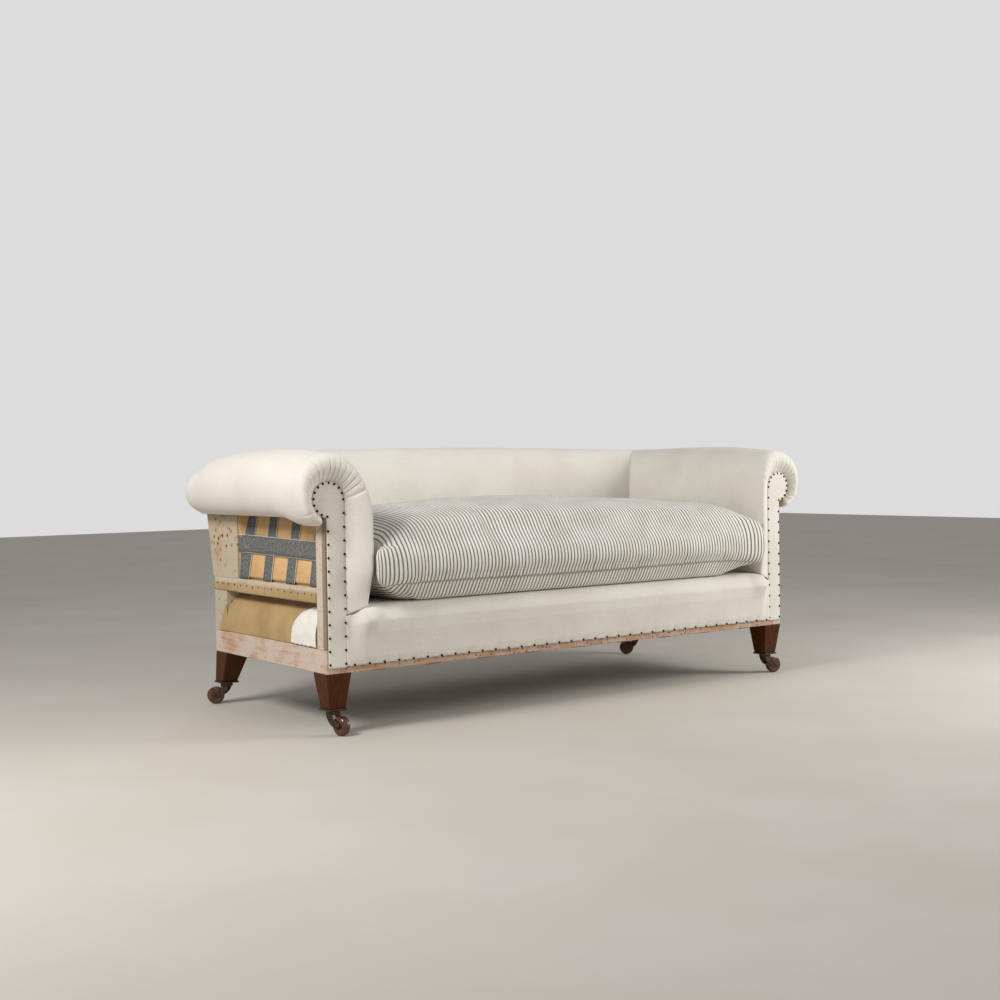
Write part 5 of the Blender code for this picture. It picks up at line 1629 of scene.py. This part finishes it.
@dataclass
class WebbingMat:
    """Straps of webbing tacked across an opening of the frame."""

    width: float = 0.051
    thickness: float = 0.0017

    def strap(
        self, shape: Shape, place: Callable[[float, float], Sequence[float]], length: float, cells: int
    ) -> None:
        """Adds one strap.

        Args:
            shape: The mat's mesh, which the strap is added to.
            place: Gives a point from its distance off the strap's middle and its share along it.
            length: The strap's length.
            cells: Cells along it.
        """
        flat = (self.width, length)
        grid = cloth_grid(4, cells, lambda across, up: place((across - 0.5) * self.width, up), flat)
        mesh = bpy.data.meshes.new("strap")
        grid.to_mesh(mesh)
        grid.free()
        shape.from_mesh(mesh)
        bpy.data.meshes.remove(mesh)

    def finish(self, name: str, shape: Shape, finishes: Finishes) -> None:
        """Makes a mat of the straps and gives it its thickness."""
        cloths = (finishes.webbing,)
        add_piece(
            f"{name}_straps", shape, cloths, stands_for=(name,), thickness=self.thickness
        )


# Middle of each upright strap of an arm at its foot, and how far it leans forward to its top
ARM_STRAPS = ((0.1255, 0.019), (-0.0105, 0.010), (-0.1445, 0.010), (-0.2785, 0.006))
ARM_STRAP_RISE = 0.21
ARM_BAND_HEIGHT = 0.4810

# Where an arm's cloth starts to turn out to the back post, low and high, and where it has turned
TURN_STARTS = (0.095, 0.132)
TURN_HEIGHTS = (0.460, 0.520)
TURN_END = 0.150
TURN_INSET = 0.008


def turned_out(out: float, along: float, height: float) -> float:
    """How far out the cloth of an arm's side is at a place, where it is drawn out to the back post."""
    start = toward(*TURN_STARTS, within(height, TURN_HEIGHTS))
    return toward(out, PLAN.side - TURN_INSET, within(along, (start, TURN_END)))


def strap_middle(strap: Point, height: float) -> float:
    """Where the middle of an arm's strap is from front to back at a height, since the straps lean forward."""
    return strap[0] - strap[1] * (height - PLAN.stuffing_top) / ARM_STRAP_RISE


def nearest_strap(along: float, height: float) -> float:
    """How far a place on an arm's side is from the middle of the nearest strap."""
    return min(abs(along - strap_middle(strap, height)) for strap in ARM_STRAPS)


@dataclass
class ArmWebbing(WebbingMat):
    """Upright straps inside an open arm, with one band across outside them."""

    side: Side = Side.LEFT
    low: Point = (0.841, 0.385)
    high: Point = (0.8156, 0.5951)
    band_tilt: float = 0.007
    band_gap: float = 0.0020
    band_dip: float = 0.0006

    def lean(self, height: float) -> float:
        """How far out the straps are at a height."""
        return toward(self.low[0], self.high[0], part_of(height, self.low[1], self.high[1]))

    def build(self, finishes: Finishes) -> None:
        """Makes the straps of one arm."""
        shape = bmesh.new()
        sign = self.side.value
        for strap in ARM_STRAPS:

            def upright(off: float, up: float, strap: Point = strap) -> Place:
                """A point of an upright strap."""
                height = toward(self.low[1], self.high[1], up)
                along = strap_middle(strap, height) + off
                return sign * turned_out(self.lean(height), along, height), along, height

            self.strap(shape, upright, self.high[1] - self.low[1], 24)
        first = PLAN.post_back + PLAN.fit
        run = PLAN.back_post_front - PLAN.fit - first

        def band(off: float, up: float) -> Place:
            """The band lies over the uprights and dips a little between them."""
            along = first + run * up
            height = ARM_BAND_HEIGHT + off + self.band_tilt * (up - 0.5)
            dip = self.band_dip * eased((nearest_strap(along, height) - 0.03) / 0.03)
            out = turned_out(self.lean(height), along, height) + self.band_gap - dip
            return sign * out, along, height

        self.strap(shape, band, run, 75)
        self.finish(f"{self.side.word}_arm_webbing", shape, finishes)


@dataclass
class BackWebbing(WebbingMat):
    """Upright straps behind the back's stuffing, with one band across outside them."""

    count: int = 8
    outermost: float = 0.665
    low: Point = (0.2918, 0.385)
    high: Point = (0.3158, 0.5951)
    band_height: float = 0.4756
    band_gap: float = 0.0020
    reach: float = 0.8117

    def build(self, finishes: Finishes) -> None:
        """Makes the straps of the back."""
        shape = bmesh.new()
        for column in spaced(-self.outermost, self.outermost, self.count):

            def upright(off: float, up: float, column: float = column) -> Place:
                """A point of an upright strap."""
                return (column + off, *between(self.low, self.high, up))

            self.strap(shape, upright, self.high[1] - self.low[1], 24)

        def band(off: float, up: float) -> Place:
            """The band lies behind the uprights."""
            height = self.band_height + off
            lean = toward(self.low[0], self.high[0], part_of(height, self.low[1], self.high[1]))
            return toward(-self.reach, self.reach, up), lean + self.band_gap, height

        self.strap(shape, band, 2 * self.reach, 80)
        self.finish("back_webbing", shape, finishes)


@dataclass
class SeatWebbing(WebbingMat):
    """Straps woven over and under each other beneath the seat."""

    columns: int = 9
    outermost: float = 0.688
    rows: tuple[float, ...] = (-0.1575, -0.0275, 0.1025)
    reach: float = 0.842
    ends: Point = (-0.3475, 0.2925)
    level: float = 0.1606
    weave: float = 0.0010
    crossing: float = 0.035

    def woven(self, run: float, number: int, crossed: Sequence[float]) -> float:
        """How far a strap is over or under the ones that it crosses, by its number, at a place along it."""
        return sum(
            (1 if (number + index) % 2 else -1) * math.exp(-(((run - place) / self.crossing) ** 2))
            for index, place in enumerate(crossed)
        )

    def build(self, finishes: Finishes) -> None:
        """Makes the woven straps."""
        shape = bmesh.new()
        columns = spaced(-self.outermost, self.outermost, self.columns)
        for number, column in enumerate(columns):

            def along(off: float, up: float, number: int = number, column: float = column) -> Place:
                """A strap from front to back."""
                run = toward(*self.ends, up)
                return column + off, run, self.level + self.weave * self.woven(run, number, self.rows)

            self.strap(shape, along, self.ends[1] - self.ends[0], 60)
        for number, row in enumerate(self.rows):

            def across(off: float, up: float, number: int = number, row: float = row) -> Place:
                """A strap from side to side."""
                run = toward(-self.reach, self.reach, up)
                return run, row + off, self.level - self.weave * self.woven(run, number, columns)

            self.strap(shape, across, 2 * self.reach, 150)
        self.finish("seat_webbing", shape, finishes)


@dataclass
class ArmCanvas:
    """Tan hessian behind an arm's webbing, turned under the stuffing rail and tacked up its outside."""

    side: Side
    columns: int = 92
    rows: int = 90
    top: float = 0.6356
    top_out: float = 0.8132
    straight_end: float = 0.5951
    foot_out: float = 0.8372
    rail_width: float = 0.022
    gap: float = 0.0013
    turn: float = 0.002
    tail_top: float = 0.3716
    tail_start: float = 0.92
    fullness: float = 0.0035
    # The cloth is full inside these heights, and this far off the band and the straps
    window_low: Point = (0.395, 0.425)
    window_high: Point = (0.585, 0.555)
    off_band: Point = (0.0290, 0.0440)
    off_strap: Point = (0.0255, 0.0455)
    tacks: int = 16
    tack_pitch: float = 0.038
    line: Path = field(init=False)

    def __post_init__(self) -> None:
        """Draws the line of the canvas from the top rail down, round the stuffing rail and up outside."""
        inner = PLAN.side - self.rail_width - self.gap
        low = PLAN.stuffing_bottom - self.gap
        outer = PLAN.side + self.gap
        self.line = Path(
            [
                (self.top_out, self.top),
                (self.top_out, self.straight_end),
                (self.foot_out, PLAN.stuffing_top + 0.0080),
                (inner, PLAN.stuffing_top + 0.0024),
                (inner, low + self.turn),
                (inner + self.turn, low),
                (outer - self.turn, low),
                (outer, low + self.turn),
                (outer, self.tail_top),
            ]
        )

    def place(self, across: float, up: float) -> Place:
        """Where the cloth is, with fullness between the straps and a ragged tail."""
        along = toward(PLAN.post_back + PLAN.fit, PLAN.back_post_front - PLAN.fit, across)
        out, height = self.line.at(up)
        if height > PLAN.stuffing_top + 0.006:
            window = within(height, self.window_low) * within(height, self.window_high)
            clear = within(abs(height - ARM_BAND_HEIGHT), self.off_band)
            clear *= within(nearest_strap(along, height), self.off_strap)
            out = turned_out(out, along, height) + self.fullness * window * clear
        elif up > self.tail_start:
            tail = eased(part_of(up, self.tail_start, 1.0))
            height += tail * (0.0030 * frayed(along, 0.012, 5.0) + 0.0025 * frayed(along, 0.05, 8.0))
            out += 0.0012 * tail * (0.5 + 0.5 * rippled(Vector((along, 2.0, 0.0)), 0.02))
        return self.side.value * out, along, height

    def build(self, finishes: Finishes) -> None:
        """Makes the canvas and the tacks of its tail."""
        flat = (PLAN.back_post_front - PLAN.post_back - 2 * PLAN.fit, self.line.length)
        shape = cloth_grid(self.columns, self.rows, self.place, flat)
        word = self.side.word
        for face in shape.faces:
            if max(vert.co.z for vert in face.verts) < PLAN.stuffing_top:
                face.material_index = 1
        piece = add_piece(
            f"{word}_arm_canvas_sheet",
            shape,
            (finishes.canvas, finishes.tail),
            stands_for=(f"{word}_arm_canvas",),
            thickness=COARSE_CLOTH,
        )
        self.build_tail(finishes)
        spots = []
        for index in range(self.tacks):
            along = PLAN.post_back + 0.02 + index * self.tack_pitch
            height = self.tail_top - 0.006 + 0.002 * frayed(along, 0.03)
            spots.append(Vector((self.side.value * (PLAN.side + 0.0024), along, height)))
        outward = Vector((float(self.side.value), 0.0, 0.0))
        Tacks(f"{word}_canvas_tacks", outward, radius=0.0026, height=0.0014).build(spots, finishes)

    def build_tail(self, finishes: Finishes) -> None:
        """Makes the end of the tail that is tacked over the rail outside the back post."""
        low = PLAN.stuffing_bottom + 0.0005
        first = PLAN.back_post_front
        flat = (PLAN.rear - 0.001 - first, self.tail_top - low)

        def place(across: float, up: float) -> Place:
            """Where the cloth is, flat on the rail with a ragged top."""
            along = first + flat[0] * across
            torn = 0.0030 * frayed(along, 0.012, 5.0) - 0.004 * across
            return self.side.value * (PLAN.side + self.gap), along, low + (flat[1] + torn) * up

        word = self.side.word
        shape = cloth_grid(30, 6, place, flat)
        cloths = (finishes.tail,)
        piece = add_piece(
            f"{word}_arm_canvas_tail", shape, cloths, thickness=COARSE_CLOTH
        )


@dataclass
class SeatCanvas:
    """The hessian sheet sewn over the tops of the seat springs."""

    half_width: float = 0.7945
    front: float = -0.3172
    rear: float = 0.2622
    level: float = 0.2841
    columns: int = 120
    rows: int = 50

    def place(self, across: float, up: float) -> Place:
        """Where the cloth is: flat, and a little uneven."""
        side = self.half_width * (2 * across - 1)
        along = toward(self.front, self.rear, up)
        return side, along, self.level + 0.0003 * rippled(Vector((side, along, 0.0)), 0.06)

    def build(self, finishes: Finishes) -> None:
        """Makes the sheet."""
        flat = (2 * self.half_width, self.rear - self.front)
        piece = add_piece(
            "seat_canvas_sheet",
            cloth_grid(self.columns, self.rows, self.place, flat),
            (finishes.hessian,),
            stands_for=("seat_canvas",),
            thickness=COARSE_CLOTH,
        )


@dataclass
class SeatRoll:
    """The hessian bulge of the seat's stuffing over a side rail, with a torn end of wadding in front."""

    side: Side
    columns: int = 60
    rows: int = 110
    foot: float = 0.2259
    half: Point = (0.056, 0.0780)
    rise: float = 0.0279
    front: float = -0.3092
    rear: float = 0.2242
    # The low part near the rear end is pushed out, over these spans up from the foot and before the end
    push_up: Point = (0.030, 0.090)
    push_along: Point = (-0.050, 0.0)
    wadding_reach: float = 0.135
    wadding_share: float = 0.42
    wadding_flat: Point = (0.14, 0.09)
    flap_flat: Point = (0.060, 0.080)
    # The flap is cut to a slant, which leaves this share of its cloth
    flap_share: float = 0.53
    section: Path = field(init=False)

    def __post_init__(self) -> None:
        """Draws the closed section."""
        centre = (PLAN.post_inner, self.foot + self.rise)
        crest = arc(centre, self.half, 0, 90, 24)
        start = (PLAN.side - 0.0015, self.foot)
        self.section = Path([start, *crest, (PLAN.post_inner, self.foot), start])

    def place(self, around: float, up: float) -> Place:
        """Where the hessian is, from its share round the section and along the rail."""
        out, height = self.section.at(around)
        along = toward(self.front, self.rear, up)
        if out > PLAN.post_inner + 0.001:
            low = 1 - within(height - self.foot, self.push_up)
            out = toward(out, PLAN.side - 0.0002, low * within(along - self.rear, self.push_along))
        return self.side.value * out, along, height

    def lumps(self, vert: Vert) -> float:
        """Lumps of stuffing, none at the foot and the ends."""
        calm = eased((vert.co.z - self.foot - 0.002) / 0.02) * eased((vert.co.y - self.front) / 0.03)
        calm *= eased((self.rear - vert.co.y) / 0.03) * eased((abs(vert.co.x) - PLAN.post_inner) / 0.012)
        coarse = 0.0015 * rippled(vert.co, 0.07, 1.0) - 0.0006
        return calm * (coarse + 0.0006 * rippled(vert.co, 0.02, 3.0))

    def build(self, finishes: Finishes) -> None:
        """Makes the bulge, the wadding and the flap."""
        shape = cloth_grid(self.columns, self.rows, self.place, (self.section.length, self.rear - self.front))
        close_tube(shape)
        displace(shape, self.lumps)
        word = self.side.word
        replaced = (f"{word}_seat_roll",)
        piece = add_piece(
            f"{word}_seat_roll_hessian", shape, (finishes.hessian,), stands_for=replaced
        )
        shape = cloth_grid(40, 40, self.place_wadding, self.wadding_flat)
        cloths = (finishes.wadding,)
        piece = add_piece(f"{word}_wadding", shape, cloths, thickness=COARSE_CLOTH)
        flat = self.flap_flat
        shape = cloth_grid(12, 24, self.place_flap, flat)
        cloths = (finishes.hessian,)
        piece = add_piece(
            f"{word}_hessian_flap", shape, cloths, thickness=COARSE_CLOTH
        )

    def place_flap(self, across: float, up: float) -> Place:
        """Where the flap on the back post's foot is: from inside the roll to a frayed slanting edge."""
        start = self.rear - 0.010 * (1 - up)
        reach = 0.004 + 0.056 * (1 - up) + 0.003 * frayed(up, 0.07, 4.0)
        along = start + reach * across
        sunk = 0.004 * (1 - eased((along - self.rear + 0.010) / 0.010))
        height = self.foot + 0.0008 + self.flap_flat[1] * up
        return self.side.value * (PLAN.side + 0.0009 - sunk), along, height

    def place_wadding(self, across: float, up: float) -> Place:
        """Where the white wadding at the front end is, thin and torn at its edge.

        Args:
            across: Share back from the post.
            up: Share up the bulge.

        Returns:
            The point.
        """
        spot = Vector(self.section.at(0.012 + self.wadding_share * up))
        above = max(spot.y - self.foot - self.rise, 0.0)
        outward = Vector((1.0, above / self.half[1])).normalized()
        reach = self.wadding_reach * math.sqrt(max(1 - up**2.2, 0.0)) + 0.006
        torn = 0.006 * frayed(up, 0.09, 6.0) + 0.003 * frayed(up, 0.03, 2.0)
        along = self.front + 0.0006 + (reach + torn) * across
        edge = eased((1 - across) / 0.22) * (0.35 + 0.65 * eased((1 - up) / 0.15))
        thick = 0.0012 + 0.0034 * edge + 0.0006 * rippled(Vector((along, up * 0.1, 0.0)), 0.03)
        spot += outward * thick
        ragged = 0.003 * (1 - eased(up / 0.06)) * rippled(Vector((along, 0.0, 3.0)), 0.008)
        return self.side.value * spot.x, along, spot.y + ragged


# Timber, castors and springs


@dataclass
class BareFrame:
    """The CAD nodes that show as they are: rails, posts, legs, castors and springs."""

    finishes: Finishes

    def dress(self) -> None:
        """Gives each node its finish."""
        kit = self.finishes
        across = ["front_seat_rail", "back_seat_rail", "back_stuffing_rail", "back_top_rail"]
        across += ["left_corner_block", "right_corner_block"]
        along = [f"{side.word}_{name}" for side in Side for name in ("seat_rail", "arm_top_rail")]
        iron = [f"{corner}_castor_{name}" for corner in CORNERS for name in ("plate", "horn", "axle")]
        groups = (
            (across, kit.rails_across, "washed_beech"),
            (along, kit.rails_along, "washed_beech"),
            ([f"{side.word}_arm_stuffing_rail" for side in Side], kit.stuffing_rails, "washed_beech"),
            ([f"{side.word}_front_post" for side in Side], kit.posts, "washed_beech"),
            ([f"{side.word}_back_post" for side in Side], kit.planks, "washed_beech"),
            ([f"{corner}_leg" for corner in CORNERS], kit.mahogany, "polished_mahogany"),
            (iron, kit.iron, "browned_iron"),
            ([f"{corner}_castor_wheel" for corner in CORNERS], kit.ceramic, "glazed_ceramic"),
            (SPRING_NAMES, kit.springs, "spring_steel"),
        )
        for names, finish, slot in groups:
            for name in names:
                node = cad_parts[name]
                node.data.materials.clear()
                node.data.materials.append(finish)
            log.info("%d nodes in %s", len(names), finish.name)


# Studio


@dataclass(frozen=True)
class Lamp:
    """A square soft lamp that faces a target."""

    name: str
    place: Place
    power: float
    size: float

    def hang(self, target: Place) -> None:
        """Hangs the lamp at its place."""
        light = bpy.data.lights.new(self.name, "AREA")
        light.energy = self.power
        light.size = self.size
        holder = bpy.data.objects.new(self.name, light)
        holder.location = self.place
        aim = Vector(target) - Vector(self.place)
        holder.rotation_euler = aim.to_track_quat("-Z", "Y").to_euler()
        bpy.context.scene.collection.objects.link(holder)


@dataclass
class Studio:
    """A plain pale floor, a pale background, soft light and the camera."""

    camera_place: Place = (-2.6383, -3.5368, 0.6936)
    yaw: float = 36.4544
    pitch: float = -1.3609
    roll: float = -0.8288
    lens: float = 50.73
    sensor: float = 36.0
    floor_reach: float = 12.0
    backdrop: str = "#dcdcdc"
    sky: str = "#ffffff"
    key: Lamp = Lamp("key", (-3.0, -0.8, 2.3), 72.0, 0.9)
    fill: Lamp = Lamp("fill", (2.3, -2.0, 1.5), 56.0, 1.4)
    world_level: float = 0.34
    target: Place = (0.0, 0.0, 0.4)

    def build(self) -> None:
        """Lays the floor and sets the light and the camera."""
        bpy.context.scene.view_settings.view_transform = "Standard"
        self.lay_floor()
        self.light_world()
        self.key.hang(self.target)
        self.fill.hang(self.target)
        self.set_camera()

    def lay_floor(self) -> None:
        """A wide floor with a faint mottle."""
        shape = bmesh.new()
        bmesh.ops.create_grid(shape, x_segments=1, y_segments=1, size=self.floor_reach)
        floor = add_object("studio_floor", shape, (StudioFloor().make(),))

    def light_world(self) -> None:
        """Soft light from all round, with the backdrop's own colour where the camera or a gloss sees it."""
        world = bpy.data.worlds.new("studio")
        world.use_nodes = True
        bpy.context.scene.world = world
        tree = world.node_tree
        tree.nodes.clear()
        rays = add_node(tree, "ShaderNodeLightPath", {}).outputs
        shown = rays["Is Camera Ray"]
        for kind in ("Is Glossy Ray", "Is Transmission Ray"):
            either = {0: shown, 1: rays[kind]}
            shown = add_node(tree, "ShaderNodeMath", {"operation": "MAXIMUM"}, either).outputs[0]
        lights = []
        for colour, strength in ((self.sky, self.world_level), (self.backdrop, 1.0)):
            settings = {"Color": linear(colour), "Strength": strength}
            lights.append(add_node(tree, "ShaderNodeBackground", settings).outputs[0])
        mixed = add_node(tree, "ShaderNodeMixShader", {}, {0: shown, 1: lights[0], 2: lights[1]}).outputs[0]
        add_node(tree, "ShaderNodeOutputWorld", {}, {"Surface": mixed})

    def set_camera(self) -> None:
        """Puts the camera where the view was taken from."""
        yaw, pitch, roll = (math.radians(angle) for angle in (self.yaw, self.pitch, self.roll))
        ahead = Vector((math.sin(yaw) * math.cos(pitch), math.cos(yaw) * math.cos(pitch), math.sin(pitch)))
        level = Vector((math.cos(yaw), -math.sin(yaw), 0.0))
        upright = level.cross(ahead)
        right = level * math.cos(roll) + upright * math.sin(roll)
        up = upright * math.cos(roll) - level * math.sin(roll)
        lens = bpy.data.cameras.new("camera")
        lens.lens = self.lens
        lens.sensor_width = self.sensor
        camera = bpy.data.objects.new("camera", lens)
        axes = Matrix((right, up, -ahead)).transposed().to_4x4()
        camera.matrix_world = Matrix.Translation(self.camera_place) @ axes
        bpy.context.scene.collection.objects.link(camera)
        bpy.context.scene.camera = camera


def main() -> None:
    """Builds every sub-assembly in order."""
    logging.basicConfig(level=logging.INFO, format="%(name)s: %(message)s")
    finishes = Finishes()
    BareFrame(finishes).dress()
    SeatWebbing().build(finishes)
    SeatCanvas().build(finishes)
    BackWebbing().build(finishes)
    for side in Side:
        ArmWebbing(side=side).build(finishes)
        ArmCanvas(side).build(finishes)
        SeatRoll(side).build(finishes)
        ArmPad(side).build(finishes)
        ScrollFacing(side).build(finishes)
    BackPad().build(finishes)
    SeatCover().build(finishes)
    SeatCushion().build(finishes)
    Studio().build()


if __name__ == "__main__":
    main()
